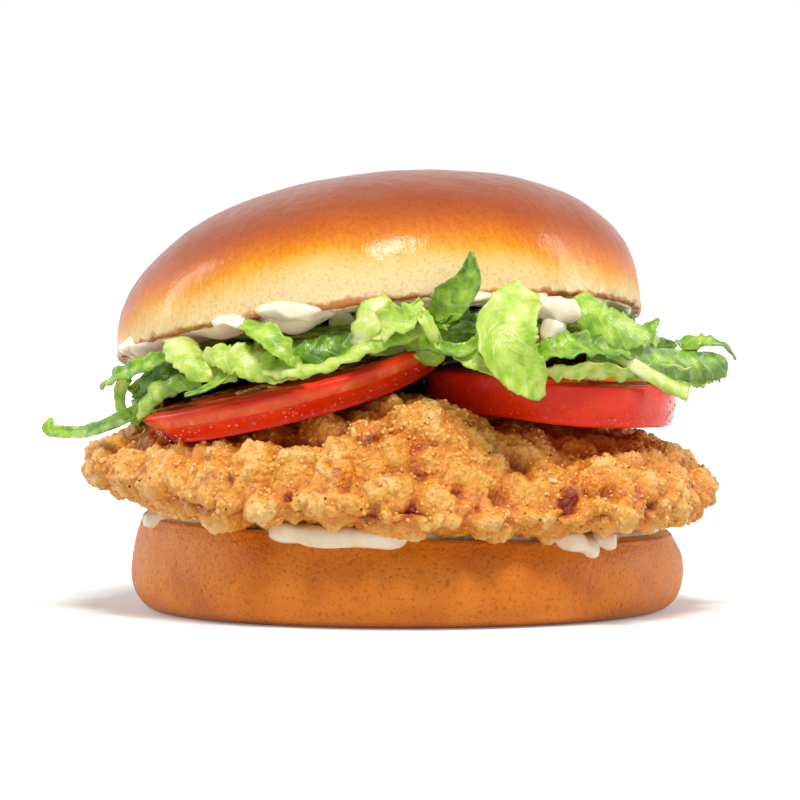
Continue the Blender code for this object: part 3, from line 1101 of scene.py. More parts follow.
@dataclass
class ChickenFillet:
    """The breaded fillet: heaped lumps of flour crust with creases, flakes, crumbs and pepper."""

    voxel: float = 0.5 * MM
    middle_z: float = 28.8 * MM
    front_push: float = 6.6 * MM
    skirt_push: float = 4.4 * MM
    hem_drop: float = 2.7 * MM
    hem_lift: float = 1.4 * MM
    top_rise: float = 4.2 * MM
    shoulder_rise: float = 2.6 * MM
    lump: float = 7.5 * MM
    lump_height: float = 1.5 * MM
    knob: float = 2.9 * MM
    knob_height: float = 0.55 * MM
    nub: float = 1.35 * MM
    nub_height: float = 0.36 * MM
    grain: float = 0.75 * MM
    grain_height: float = 0.2 * MM
    ragged: float = 5.0 * MM
    ragged_height: float = 1.0 * MM
    covered: tuple[tuple[Vector, float, float], ...] = (
        (Vector((-20.5, -15)) * MM, 29 * MM, 27 * MM),
        (Vector((28.5, -13)) * MM, 21 * MM, 27 * MM),
    )
    crumb_count: int = 2400
    flake_count: int = 60
    pepper_count: int = 170
    finish: FriedBreading = field(default_factory=FriedBreading)

    def bulged(self, point: Vector) -> Vector:
        """Fills out the front, where the fillet hangs over the bun in uneven folds."""
        toward_front = smooth_step(-point.y, 18 * MM, 46 * MM)
        outward = Vector((0.45 * point.x, point.y, 0)).normalized()
        folds = 0.75 + 1.1 * noise.noise(Vector((point.x / (21 * MM), 1.7, 0.4)))
        lower = smooth_step(self.middle_z - point.z, -2 * MM, 6 * MM)
        upper = smooth_step(point.z - self.middle_z, 0.0, 7 * MM)
        uneven = 0.9 + 0.6 * noise.noise(Vector((point.x / (13 * MM), 5.0, 2.0)))
        hem = lower * (self.hem_drop * uneven - self.hem_lift * bell(point.x + 14 * MM, 11 * MM))
        crest = bell(point.x + 1 * MM, 21 * MM) * smooth_step(-point.y, 2 * MM, 26 * MM)
        shoulder = bell(point.x - 52 * MM, 9 * MM)
        rise = upper * (self.top_rise * crest + self.shoulder_rise * shoulder)
        skirt = self.skirt_push * lower * smooth_step(-point.y, 30 * MM, 48 * MM)
        moved = point + outward * (self.front_push * folds * toward_front + skirt)
        moved.z += rise - hem * toward_front
        moved.x -= 2.8 * MM * smooth_step(point.x, 46 * MM, 60 * MM)
        moved.x -= 0.6 * MM * smooth_step(-point.x, 46 * MM, 60 * MM)
        return moved

    def warped(self, point: Vector) -> Vector:
        """Shifts a point so that the lumps aren't round cells."""
        return point + noise.noise_vector(point / (7 * MM)) * (2.4 * MM)

    def height(self, point: Vector) -> float:
        """How far the crust stands out here, in metres."""
        bent = self.warped(point)
        lump, knob, nub = (
            1 - 3.2 * noise.voronoi(place / size)[0][0] ** 2
            for place, size in ((bent, self.lump), (bent, self.knob), (point, self.nub))
        )
        ridge = 1 - 2 * abs(noise.noise(bent / self.ragged))
        grain = noise.noise(point / self.grain)
        total = self.lump_height * lump + self.knob_height * knob + self.nub_height * nub
        return total + self.ragged_height * (ridge - 0.5) + self.grain_height * grain

    def exposure(self, point: Vector, normal: Vector) -> float:
        """1 where the crust is open, near 0 where a slice or the bun presses on it."""
        share = 1.0
        if normal.z > 0:
            for centre, reach_x, reach_y in self.covered:
                apart = math.hypot((point.x - centre.x) / reach_x, (point.y - centre.y) / reach_y)
                share = min(share, 0.4 + 0.6 * smooth_step(apart, 0.7, 0.9))
        if normal.z < -0.3:
            share = min(share, 0.2 + 0.8 * smooth_step(point.xy.length, 46 * MM, 52 * MM))
        return share

    def build(self, rng: random.Random) -> list[bpy.types.Object]:
        """Builds and dresses the fillet and what sticks to it.

        Args:
            rng: Where the loose bits' places come from.

        Returns:
            The crust, its crumbs, its flakes and its pepper.
        """
        bm = refined(merged_copy("chicken_fillet"), 2, self.voxel)
        for vert in bm.verts:
            vert.co = self.bulged(vert.co)
        bm.normal_update()
        relief = bm.verts.layers.float.new("relief")
        heights = [self.height(vert.co) for vert in bm.verts]
        open_shares = [self.exposure(vert.co, vert.normal) for vert in bm.verts]
        normals = [vert.normal.copy() for vert in bm.verts]
        low, high = np.percentile(heights, (3, 97))
        for vert, stand, share, normal in zip(bm.verts, heights, open_shares, normals):
            vert[relief] = max(0.0, min(1.0, (stand - low) / (high - low)))
            vert.co += normal * ((stand - 0.3 * self.lump_height) * share)
        bm.normal_update()
        seats = self.seats(bm, rng)
        crust = finish_piece(
            "chicken_breading", bm, self.finish.material(), ["chicken_fillet"]
        )
        return [crust, self.crumbs(seats, rng), self.flakes(seats, rng), self.pepper(seats, rng)]

    def seats(self, bm: bmesh.types.BMesh, rng: random.Random) -> list[tuple[Vector, Vector]]:
        """Picks open places on the crust, with the way out from each."""
        open_faces = []
        for face in bm.faces:
            middle = face.calc_center_median()
            if face.normal.z > -0.6 and self.exposure(middle, face.normal) > 0.99:
                open_faces.append((middle, face.normal.copy()))
        wanted = self.crumb_count + self.flake_count + self.pepper_count
        return rng.sample(open_faces, wanted)

    def bit(
        self,
        bm: bmesh.types.BMesh,
        seat: tuple[Vector, Vector],
        size: tuple[float, float, float],
        detail: int,
        rng: random.Random,
        tilt: float = 0.0,
        sink: float = 0.3,
    ) -> None:
        """Adds one uneven bit of crust to a mesh of them.

        Args:
            bm: The mesh of joined bits.
            seat: Its place and the way out from there.
            size: Half its length, width and thickness.
            detail: Subdivisions of the ball that it starts from.
            rng: Where its turn and unevenness come from.
            tilt: How far it leans off the surface, in radians.
            sink: Share of its thickness that is below the surface.
        """
        place, normal = seat
        upright = normal.to_track_quat("Z", "Y").to_matrix().to_4x4()
        spin = Matrix.Rotation(rng.uniform(0, math.tau), 4, "Z")
        lean = Matrix.Rotation(tilt, 4, "X")
        origin = Matrix.Translation(place + normal * (size[2] * (1 - 2 * sink)))
        made = bmesh.ops.create_icosphere(bm, subdivisions=detail, radius=1)["verts"]
        offset = Vector((rng.uniform(0, 50), rng.uniform(0, 50), rng.uniform(0, 50)))
        matrix = origin @ upright @ spin @ lean
        for vert in made:
            uneven = 1 + 0.45 * noise.noise(vert.co * 1.7 + offset)
            vert.co = matrix @ Vector(c * s * uneven for c, s in zip(vert.co, size))

    def crumbs(
        self, seats: Sequence[tuple[Vector, Vector]], rng: random.Random
    ) -> bpy.types.Object:
        """Small grains of fried flour all over the crust."""

        def add_crumb(bm: bmesh.types.BMesh, index: int) -> None:
            half = rng.uniform(0.22, 0.55) * MM
            size = (half, half * rng.uniform(0.7, 1), half * rng.uniform(0.6, 0.9))
            self.bit(bm, seats[index], size, 2, rng, sink=0.45)

        colours = ((0.25, "#dd9640"), (0.5, "#ecb058"), (0.75, "#f5c983"))
        material = SpeckledSolid("fried_flour_crumbs", colours, 2.5, 0.4).material()
        bm = joined(self.crumb_count, add_crumb)
        return finish_piece("chicken_crumbs", bm, material)

    def flakes(
        self, seats: Sequence[tuple[Vector, Vector]], rng: random.Random
    ) -> bpy.types.Object:
        """Thin curled flakes of crust that stand off the surface."""

        def add_flake(bm: bmesh.types.BMesh, index: int) -> None:
            half = rng.uniform(0.7, 1.6) * MM
            size = (half, half * rng.uniform(0.4, 0.8), rng.uniform(0.25, 0.5) * MM)
            tilt = rng.uniform(-0.7, 0.7)
            self.bit(bm, seats[self.crumb_count + index], size, 3, rng, tilt=tilt, sink=0.5)

        colours = ((0.25, "#e6a549"), (0.5, "#f2c274"), (0.75, "#f8dba4"))
        material = SpeckledSolid("fried_flour_flakes", colours, 1.6, 0.5).material()
        bm = joined(self.flake_count, add_flake)
        return finish_piece("chicken_flakes", bm, material)

    def pepper(
        self, seats: Sequence[tuple[Vector, Vector]], rng: random.Random
    ) -> bpy.types.Object:
        """Specks of cracked pepper."""

        def add_speck(bm: bmesh.types.BMesh, index: int) -> None:
            half = rng.uniform(0.12, 0.34) * MM
            self.bit(bm, seats[-1 - index], (half, half * 0.8, half * 0.6), 1, rng)

        colours = ((0.3, "#1c130e"), (0.6, "#3a2418"), (0.8, "#6b3a1e"))
        material = SpeckledSolid("cracked_pepper", colours, 1.5, 0.6).material()
        bm = joined(self.pepper_count, add_speck)
        return finish_piece("pepper_specks", bm, material)


# ---------------------------------------------------------------- tomato


@dataclass
class TomatoSlice:
    """One slice: a short cone with rounded rims, lobed, bent, draped, with wet cut faces."""

    name: str
    node: str
    centre: Vector
    radii: tuple[float, float]
    thickness: float
    slope: float
    undercut: float
    bend: float
    bent_side: int
    drape: float
    chambers: int
    front_undercut: float = 0.95
    stretch: float = 0.09
    rim: float = 0.75 * MM
    segments: int = 220
    chamber_depth: float = 0.7 * MM

    def profile(self) -> list[tuple[float, float]]:
        """Unit outline, with z from -1 at the lower face to 0 at the upper one."""
        face_steps, rim_steps, wall_steps = 22, 6, 14
        rim_z = self.rim / self.thickness
        rim_r = self.rim / self.radii[1]
        low, high = self.undercut, 1.0
        points = [((low - rim_r) * s / face_steps, -1.0) for s in range(face_steps)]
        for step in range(rim_steps + 1):
            turn = math.radians(90) * step / rim_steps
            points.append((low - rim_r + rim_r * math.sin(turn), -1 + rim_z * (1 - math.cos(turn))))
        for step in range(1, wall_steps):
            share = step / wall_steps
            belly = 0.012 * math.sin(math.pi * share)
            z = -1 + rim_z + (1 - 2 * rim_z) * share
            points.append((low + (high - low) * share + belly, z))
        for step in range(rim_steps + 1):
            turn = math.radians(90) * step / rim_steps
            points.append((high - rim_r + rim_r * math.cos(turn), -rim_z + rim_z * math.sin(turn)))
        points += [((high - rim_r) * (1 - s / face_steps), 0.0) for s in range(1, face_steps + 1)]
        return points

    def chamber(self, x: float, y: float) -> float:
        """1 inside a seed chamber of the unit slice, 0 in its walls."""
        reach, bearing = math.hypot(x, y), math.atan2(y, x)
        between = abs(math.sin(self.chambers * bearing / 2 + 0.4))
        ring = smooth_step(reach, 0.26, 0.38) * (1 - smooth_step(reach, 0.66, 0.76))
        return ring * smooth_step(between * reach, 0.12, 0.24)

    def placed(self, point: Vector) -> Vector:
        """Scales, lobes, bends and drapes a point of the unit slice."""
        radius_x, radius_y = self.radii
        bearing = math.atan2(point.y, point.x)
        lobes = 1 + 0.012 * math.cos(5 * bearing + 1)
        steeper = smooth_step(-math.sin(bearing), 0.2, 0.9) * (self.front_undercut / self.undercut - 1)
        lobes *= 1 - point.z * steeper
        x, y = point.x * radius_x * lobes, point.y * radius_y * lobes
        x *= 1 + self.stretch * max(0.0, self.bent_side * point.x)
        toward_end = max(0.0, self.bent_side * x / radius_x - 0.3) / 0.7
        toward_front = max(0.0, -y / radius_y)
        lift = self.bend * toward_end**2 - self.drape * toward_front**2
        lifted = point.z * self.thickness + self.slope * x + lift
        return self.centre + Vector((x, y, lifted))

    def build(self, material: bpy.types.Material) -> bpy.types.Object:
        """Builds and dresses the slice."""
        bm = turned(self.profile(), self.segments)
        skin = bm.verts.layers.float.new("skin")
        gel = bm.verts.layers.float.new("gel")
        for vert in bm.verts:
            x, y, z = vert.co
            reach = math.hypot(x, y)
            on_face = z > -0.001 or z < -0.999
            edge = 1.0 if z > -0.5 else self.undercut
            vert[skin] = smooth_step(reach, edge - 0.035, edge - 0.012)
            vert[gel] = self.chamber(x, y) if on_face else 0.0
            target = self.placed(vert.co)
            waves = 0.12 * MM * rough(target, 3 * MM, 3)
            inward = math.copysign(1.0, z + 0.5)
            if on_face:
                target.z += waves - inward * self.chamber_depth * vert[gel]
            else:
                outward = Vector((x, y, 0)).normalized()
                target += outward * (0.16 * MM * rough(target, 9 * MM, 2))
            vert.co = target
        return finish_piece(self.name, bm, material, [self.node])

    def seeds(self, bm: bmesh.types.BMesh, rng: random.Random) -> None:
        """Adds this slice's seeds, flat drops that lie in the chambers' jelly."""
        for chamber in range(self.chambers):
            middle = (chamber + 0.5) * math.tau / self.chambers - 0.8 / self.chambers
            for _ in range(7):
                bearing = middle + rng.uniform(-0.3, 0.3)
                reach = rng.uniform(0.42, 0.64)
                seat = self.placed(Vector((reach * math.cos(bearing), reach * math.sin(bearing), 0)))
                seat.z -= 0.3 * MM
                turn = Matrix.Rotation(rng.uniform(0, math.tau), 4, "Z")
                made = bmesh.ops.create_uvsphere(bm, u_segments=10, v_segments=7, radius=1)["verts"]
                for vert in made:
                    taper = 0.75 + 0.35 * vert.co.x
                    flat = Vector((1.5 * vert.co.x, 0.95 * vert.co.y * taper, 0.42 * vert.co.z))
                    vert.co = seat + turn @ (flat * MM)

    def drop(self, bm: bmesh.types.BMesh, rng: random.Random) -> None:
        """Adds one tiny bead of juice to this slice's wall.

        Args:
            bm: The mesh of joined beads.
            rng: Where its place and size come from.
        """
        bearing = rng.uniform(math.radians(-175), math.radians(-5))
        share = rng.uniform(0.12, 0.92)
        reach = self.undercut + (1 - self.undercut) * share + 0.012 * math.sin(math.pi * share)
        seat = self.placed(
            Vector((reach * math.cos(bearing), reach * math.sin(bearing), share - 1))
        )
        half = rng.uniform(0.13, 0.3) * MM * (1.5 if rng.random() < 0.08 else 1.0)
        made = bmesh.ops.create_icosphere(bm, subdivisions=2, radius=half)["verts"]
        bmesh.ops.translate(bm, verts=made, vec=seat)


@dataclass
class TomatoLayer:
    """The two overlapping slices, their seeds and the juice that beads on them."""

    left: TomatoSlice = field(
        default_factory=lambda: TomatoSlice(
            name="tomato_slice_left",
            node="tomato_left",
            centre=Vector((-20.5, -17, 46.8)) * MM,
            radii=(31.3 * MM, 31.3 * MM),
            thickness=6.8 * MM,
            slope=0.25,
            undercut=0.82,
            bend=2.3 * MM,
            bent_side=1,
            drape=1.4 * MM,
            chambers=5,
        )
    )
    right: TomatoSlice = field(
        default_factory=lambda: TomatoSlice(
            name="tomato_slice_right",
            node="tomato_right",
            centre=Vector((28.5, -15.5, 47.3)) * MM,
            radii=(23 * MM, 31 * MM),
            thickness=8.2 * MM,
            slope=-0.105,
            undercut=0.97,
            bend=-2.3 * MM,
            bent_side=-1,
            drape=1.2 * MM,
            chambers=4,
        )
    )

    def build(self, rng: random.Random) -> list[bpy.types.Object]:
        """Builds and dresses the slices, seeds and beads of juice."""
        material = FreshTomato().material()
        pieces = [part.build(material) for part in (self.left, self.right)]
        seeds = bmesh.new()
        for part in (self.left, self.right):
            part.seeds(seeds, rng)
        drops = joined(440, lambda bm, index: (self.left, self.right)[index % 2].drop(bm, rng))
        seed_colours = ((0.3, "#d9a552"), (0.6, "#e9c57c"), (0.8, "#f2dda6"))
        seed_finish = SpeckledSolid("tomato_seed", seed_colours, 1.2, 0.3)
        pieces.append(finish_piece("tomato_seeds", seeds, seed_finish.material()))
        pieces.append(finish_piece("tomato_juice_beads", drops, Water().material()))
        return pieces


# ---------------------------------------------------------------- mayonnaise


@dataclass(frozen=True)
class Bead:
    """A place where the lower sauce swells out: bearing in degrees, swell, half width, hang."""

    bearing: float
    swell: float
    half: float
    hang: float


@dataclass
class LowerSauce:
    """Mayonnaise between the bottom half and the fillet, squeezed out over the crust."""

    heel: BunBottom
    film: float = 1.5 * MM
    radius: float = 48.6 * MM
    lip: float = 2.2 * MM
    beads: tuple[Bead, ...] = (
        Bead(-116, 5.4 * MM, 6, 0.5 * MM),
        Bead(-107, 6.6 * MM, 9, 0.9 * MM),
        Bead(-96, 6.0 * MM, 8, 0.4 * MM),
        Bead(-53, 5.4 * MM, 5, 0.4 * MM),
        Bead(-49, 5.6 * MM, 2.2, 1.9 * MM),
        Bead(-43, 5.0 * MM, 4, 0.3 * MM),
        Bead(-160, 5.0 * MM, 4, 0.8 * MM),
        Bead(64, 4.0 * MM, 12, 1.2 * MM),
        Bead(150, 3.4 * MM, 8, 0.8 * MM),
    )

    def placed(self, unit: Vector) -> Vector:
        """Maps a point of a unit sphere onto the sauce."""
        bearing = math.atan2(unit.y, unit.x)
        gaps = [abs((math.degrees(bearing) - b.bearing + 180) % 360 - 180) for b in self.beads]
        swell = max(b.swell * bell(gap, b.half) for b, gap in zip(self.beads, gaps))
        hang = max(b.hang * bell(gap, b.half) for b, gap in zip(self.beads, gaps))
        spread = math.hypot(unit.x, unit.y) ** 0.6
        ripple = 0.7 * math.cos(7 * bearing) * MM + 0.5 * MM * noise.noise(unit * 6)
        reach = (self.radius + ripple + swell) * spread
        x, y = reach * math.cos(bearing), reach * math.sin(bearing)
        depth = self.film + (self.lip * 0.6 + 0.3 * swell) * spread**6
        rise = signed_power(unit.z, 0.6)
        cut = self.heel.cut_z + self.heel.cut_slope * x
        point = Vector((x, y, cut + 0.4 * MM - hang * spread**8 + depth * rise))
        return point + noise.noise_vector(point / (3.5 * MM)) * (0.3 * MM)

    def build(self, material: bpy.types.Material) -> bpy.types.Object:
        """Builds and dresses the lower sauce."""
        bm = sphere_mapped(420, 36, self.placed)
        return finish_piece("mayonnaise_lower", bm, material, ["sauce_lower"])


@dataclass
class UpperSauce:
    """Mayonnaise under the top half, with drops that hang at its edge."""

    crown: BunTop
    film: float = 1.5 * MM
    radius: float = 48.6 * MM
    dollops: tuple[tuple[Vector, Vector], ...] = (
        (Vector((-50.5, -17, 51.6)) * MM, Vector((4.8, 4.5, 2.1)) * MM),
        (Vector((-31.5, -41.5, 57.0)) * MM, Vector((5.2, 4.0, 1.7)) * MM),
        (Vector((-20.6, -45.5, 59.4)) * MM, Vector((7.4, 4.4, 2.1)) * MM),
        (Vector((28.4, -45.5, 59.6)) * MM, Vector((4.2, 3.2, 3.0)) * MM),
        (Vector((27.4, -46, 55.8)) * MM, Vector((2.6, 2.8, 3.6)) * MM),
        (Vector((13, -47, 61.8)) * MM, Vector((9, 3.6, 1.1)) * MM),
    )
    drops: tuple[tuple[Vector, float, float], ...] = (
        (Vector((-45, -20)) * MM, 4.4 * MM, 7 * MM),
        (Vector((-30, -38)) * MM, 4.0 * MM, 6 * MM),
        (Vector((-16, -46)) * MM, 6.0 * MM, 6.5 * MM),
        (Vector((10, -46)) * MM, 1.6 * MM, 6 * MM),
        (Vector((30, -40)) * MM, 8.5 * MM, 5 * MM),
        (Vector((22, -42)) * MM, 2.0 * MM, 6 * MM),
        (Vector((40, -28)) * MM, 4.0 * MM, 6 * MM),
        (Vector((40, 22)) * MM, 2.6 * MM, 7 * MM),
        (Vector((-20, 40)) * MM, 2.4 * MM, 8 * MM),
    )

    def placed(self, unit: Vector) -> Vector:
        """Maps a point of a unit sphere onto the sauce, in the top half's own frame."""
        bearing = math.atan2(unit.y, unit.x)
        spread = math.hypot(unit.x, unit.y) ** 0.7
        ripple = 1.2 * MM * math.cos(5 * bearing + 1) + 0.8 * MM * noise.noise(unit * 5)
        rim = Vector((math.cos(bearing), math.sin(bearing))) * self.radius
        swell = max(0.6 * deep * bell((rim - at).length, half) for at, deep, half in self.drops)
        reach = (self.radius + ripple + swell) * spread
        x, y = reach * math.cos(bearing), reach * math.sin(bearing)
        face = self.crown.dish * (1 - (reach / self.crown.radius) ** 2)
        rise = signed_power(unit.z, 0.7)
        if rise > 0:
            return Vector((x, y, face + 0.5 * MM * rise))
        here = Vector((x, y))
        drop = max(deep * bell((here - at).length, half) for at, deep, half in self.drops)
        wobble = 0.3 * MM * noise.noise(Vector((x, y, 0)) / (3 * MM))
        return Vector((x, y, face + (self.film + drop + wobble) * rise))

    def build(self, material: bpy.types.Material) -> bpy.types.Object:
        """Builds and dresses the upper sauce."""
        place = self.crown.matrix()
        bm = sphere_mapped(360, 48, lambda unit: place @ self.placed(unit))
        for centre, half in self.dollops:
            made = bmesh.ops.create_uvsphere(bm, u_segments=64, v_segments=40, radius=1)["verts"]
            for vert in made:
                point = centre + Vector(c * h for c, h in zip(vert.co, half))
                vert.co = point + noise.noise_vector(point / (3.2 * MM)) * (0.9 * MM)
        return finish_piece("mayonnaise_upper", bm, material, ["sauce_upper"])


# ---------------------------------------------------------------- lettuce


class Tone(Enum):
    """How green a shred is, from its rib end to its frilled end."""

    RIB = (0.02, 0.25)
    PALE = (0.15, 0.42)
    YOUNG = (0.34, 0.56)
    FRESH = (0.52, 0.72)
    LEAFY = (0.62, 0.85)
    # The deepest green, which some front shreds use as painted shade.
    DEEP = (0.85, 1.0)


@dataclass(frozen=True)
class Shred:
    """One torn strip of leaf, as listed spine points and widths in millimetres."""

    spine: tuple[tuple[float, float, float], ...]
    widths: tuple[float, ...]
    tone: Tone
    facing: tuple[float, float, float] = (0.0, -1.0, 0.35)
    twist: float = 0.0
    curl: float = 0.3
    ruffle: float = 0.5
    frill: float = 5.0
    ragged: float = 0.22

    def spine_at(self, share: float) -> Vector:
        """A point of the smooth curve through the spine's points, in metres."""
        points = [Vector(p) for p in self.spine]
        points = [2 * points[0] - points[1], *points, 2 * points[-1] - points[-2]]
        spans = len(points) - 3
        step = min(int(share * spans), spans - 1)
        t = share * spans - step
        a, b, c, d = points[step : step + 4]
        curve = 2 * b + (c - a) * t + (2 * a - 5 * b + 4 * c - d) * t**2 + (3 * (b - c) + d - a) * t**3
        return curve * (0.5 * MM)

    def half_width(self, share: float) -> float:
        """Half the width here, in metres."""
        place = share * (len(self.widths) - 1)
        return float(np.interp(place, range(len(self.widths)), self.widths)) * 0.5 * MM

    def length(self) -> float:
        """The spine's length in metres."""
        marks = [self.spine_at(i / 12) for i in range(13)]
        return sum((b - a).length for a, b in zip(marks, marks[1:]))

    def placed(self, share: float, across: float, seed: float) -> Vector:
        """A point of the leaf.

        Args:
            share: How far along the spine, from 0 to 1.
            across: From -1 at one edge to 1 at the other.
            seed: Sets this shred's own unevenness.

        Returns:
            The point in metres.
        """
        middle = self.spine_at(share)
        ahead = self.spine_at(min(1.0, share + 0.02)) - self.spine_at(max(0.0, share - 0.02))
        tangent = ahead.normalized()
        turn = Matrix.Rotation(math.radians(self.twist) * (share - 0.5), 3, tangent)
        side = (turn @ tangent.cross(Vector(self.facing))).normalized()
        out = side.cross(tangent).normalized()
        run = share * self.length() / MM
        half = self.half_width(share)
        edge_key = Vector((run / 1.6, math.copysign(7.0, across), seed))
        half *= 1 + self.ragged * abs(across) * noise.fractal(edge_key, 0.5, 2.2, 3)
        wave = math.sin(math.tau * run / self.frill + 1.9 * math.copysign(1.0, across) + seed)
        lift = self.ruffle * MM * abs(across) ** 1.6 * wave
        lift += self.curl * half * across**2
        lift += 0.35 * MM * noise.noise(Vector((run / 3.5, across * 1.2, seed)))
        return middle + side * (across * half) + out * lift

    def add_to(self, bm: bmesh.types.BMesh, seed: float) -> None:
        """Adds the shred to a mesh of them.

        Args:
            bm: The mesh, with its leaf_place and tone layers.
            seed: Sets this shred's own unevenness.
        """
        place_layer = bm.verts.layers.float_vector["leaf_place"]
        tone_layer = bm.verts.layers.float["tone"]
        run = self.length() / MM
        steps_along = max(8, min(60, round(run / 0.55)))
        steps_across = max(4, min(18, round(max(self.widths) / 0.6)))
        made = bmesh.ops.create_grid(bm, x_segments=steps_along, y_segments=steps_across, size=1)
        start, end = self.tone.value
        for vert in made["verts"]:
            share, across = (vert.co.x + 1) / 2, vert.co.y
            vert[place_layer] = Vector(
                (share * run, across * self.half_width(share) / MM, seed * 13.7)
            )
            vert[tone_layer] = start + (end - start) * share + 0.12 * (abs(across) - 0.4)
            vert.co = self.placed(share, across, seed)


LEFT_SHREDS = (
    # The strip that hangs out to the far left, its tip hooked upwards
    Shred(
        ((-69.5, -4, 37.5), (-69.6, -6, 35.2), (-65, -10, 34.8), (-61, -16, 35.5), (-56, -22, 37.5), (-48, -30, 41.5)),
        (0.6, 2.4, 2.4, 2.5, 2.6, 2.8, 2.4), Tone.FRESH, curl=0.5, ruffle=0.12, frill=9, ragged=0.1,
    ),
    # The bright leaf above it and the branch that drops from it
    Shred(
        ((-59, -20, 44.0), (-55.5, -26, 46.3), (-51, -30, 48.2), (-45, -33, 50.4), (-40, -34, 52)),
        (0.5, 3.6, 4.0, 3.2, 3.0), Tone.LEAFY, facing=(-0.2, -0.8, 0.6), curl=0.4,
    ),
    Shred(
        ((-53.5, -27, 46.5), (-55.0, -26, 43.0), (-54.2, -25, 39.4), (-51, -25, 37.8)),
        (2.6, 2.2, 2.0, 1.8), Tone.FRESH, facing=(-0.2, -1, 0), curl=0.4,
    ),
    # A dark leaf behind them, whose deep green is painted shade.
    Shred(
        ((-52, -26, 42.0), (-49, -29, 45.0), (-46, -31, 47.6), (-42, -33, 49.0)),
        (1.5, 3.6, 4.0, 3.0), Tone.DEEP, curl=0.3,
    ),
    Shred(
        ((-51.5, -28, 38.6), (-50, -30, 41.0), (-48, -33, 43.6), (-44, -36, 45.4), (-39, -38, 46)),
        (1.5, 3.5, 4.2, 3.6, 3.0), Tone.FRESH, facing=(-0.4, -0.9, 0.3), curl=-0.3,
    ),
    # The pale cupped leaf under the rim
    Shred(
        ((-43.0, -36, 54.3), (-42.2, -42, 52.2), (-40.6, -45, 49.6), (-36.8, -46, 47.6), (-32, -44, 47.4)),
        (6.5, 7.0, 5.0, 3.6, 2.0), Tone.YOUNG, facing=(0.1, -1, 0.2), curl=-0.35, ruffle=0.5,
    ),
    # The thin stem that lies on the tomato
    Shred(
        ((-32, -46, 50.5), (-34, -48, 47.8), (-36, -48, 45.9), (-38.6, -46, 44.6), (-41.8, -43, 43.6)),
        (2.6, 1.5, 1.2, 1.0, 0.5), Tone.FRESH, curl=0.8, ruffle=0.1,
    ),
    # The pale frilled leaf and the folded one beside it
    Shred(
        ((-38.5, -45, 50.8), (-34, -49, 51.2), (-29.5, -51, 50.0), (-24, -51, 48.6), (-19.5, -50, 49.6)),
        (2.6, 5.4, 6.2, 5.0, 3.6), Tone.YOUNG, facing=(0, -1, 0.25), curl=-0.2, ruffle=0.9, frill=6,
        ragged=0.34,
    ),
    Shred(
        ((-31, -46, 57.0), (-27, -51, 55.4), (-23.6, -53, 52.6), (-21.2, -53.5, 49.4)),
        (2.2, 5.2, 4.6, 1.0), Tone.FRESH, facing=(0.4, -1, 0.3), curl=0.35, ruffle=0.3,
    ),
    # A dark leaf interior behind them, whose deep green is painted shade.
    Shred(
        ((-24, -46, 51.4), (-19, -48, 51.6), (-14, -48, 52.6), (-9, -48, 54)),
        (4.6, 6.4, 6.2, 4.0), Tone.DEEP, curl=-0.4, ruffle=0.5,
    ),
)

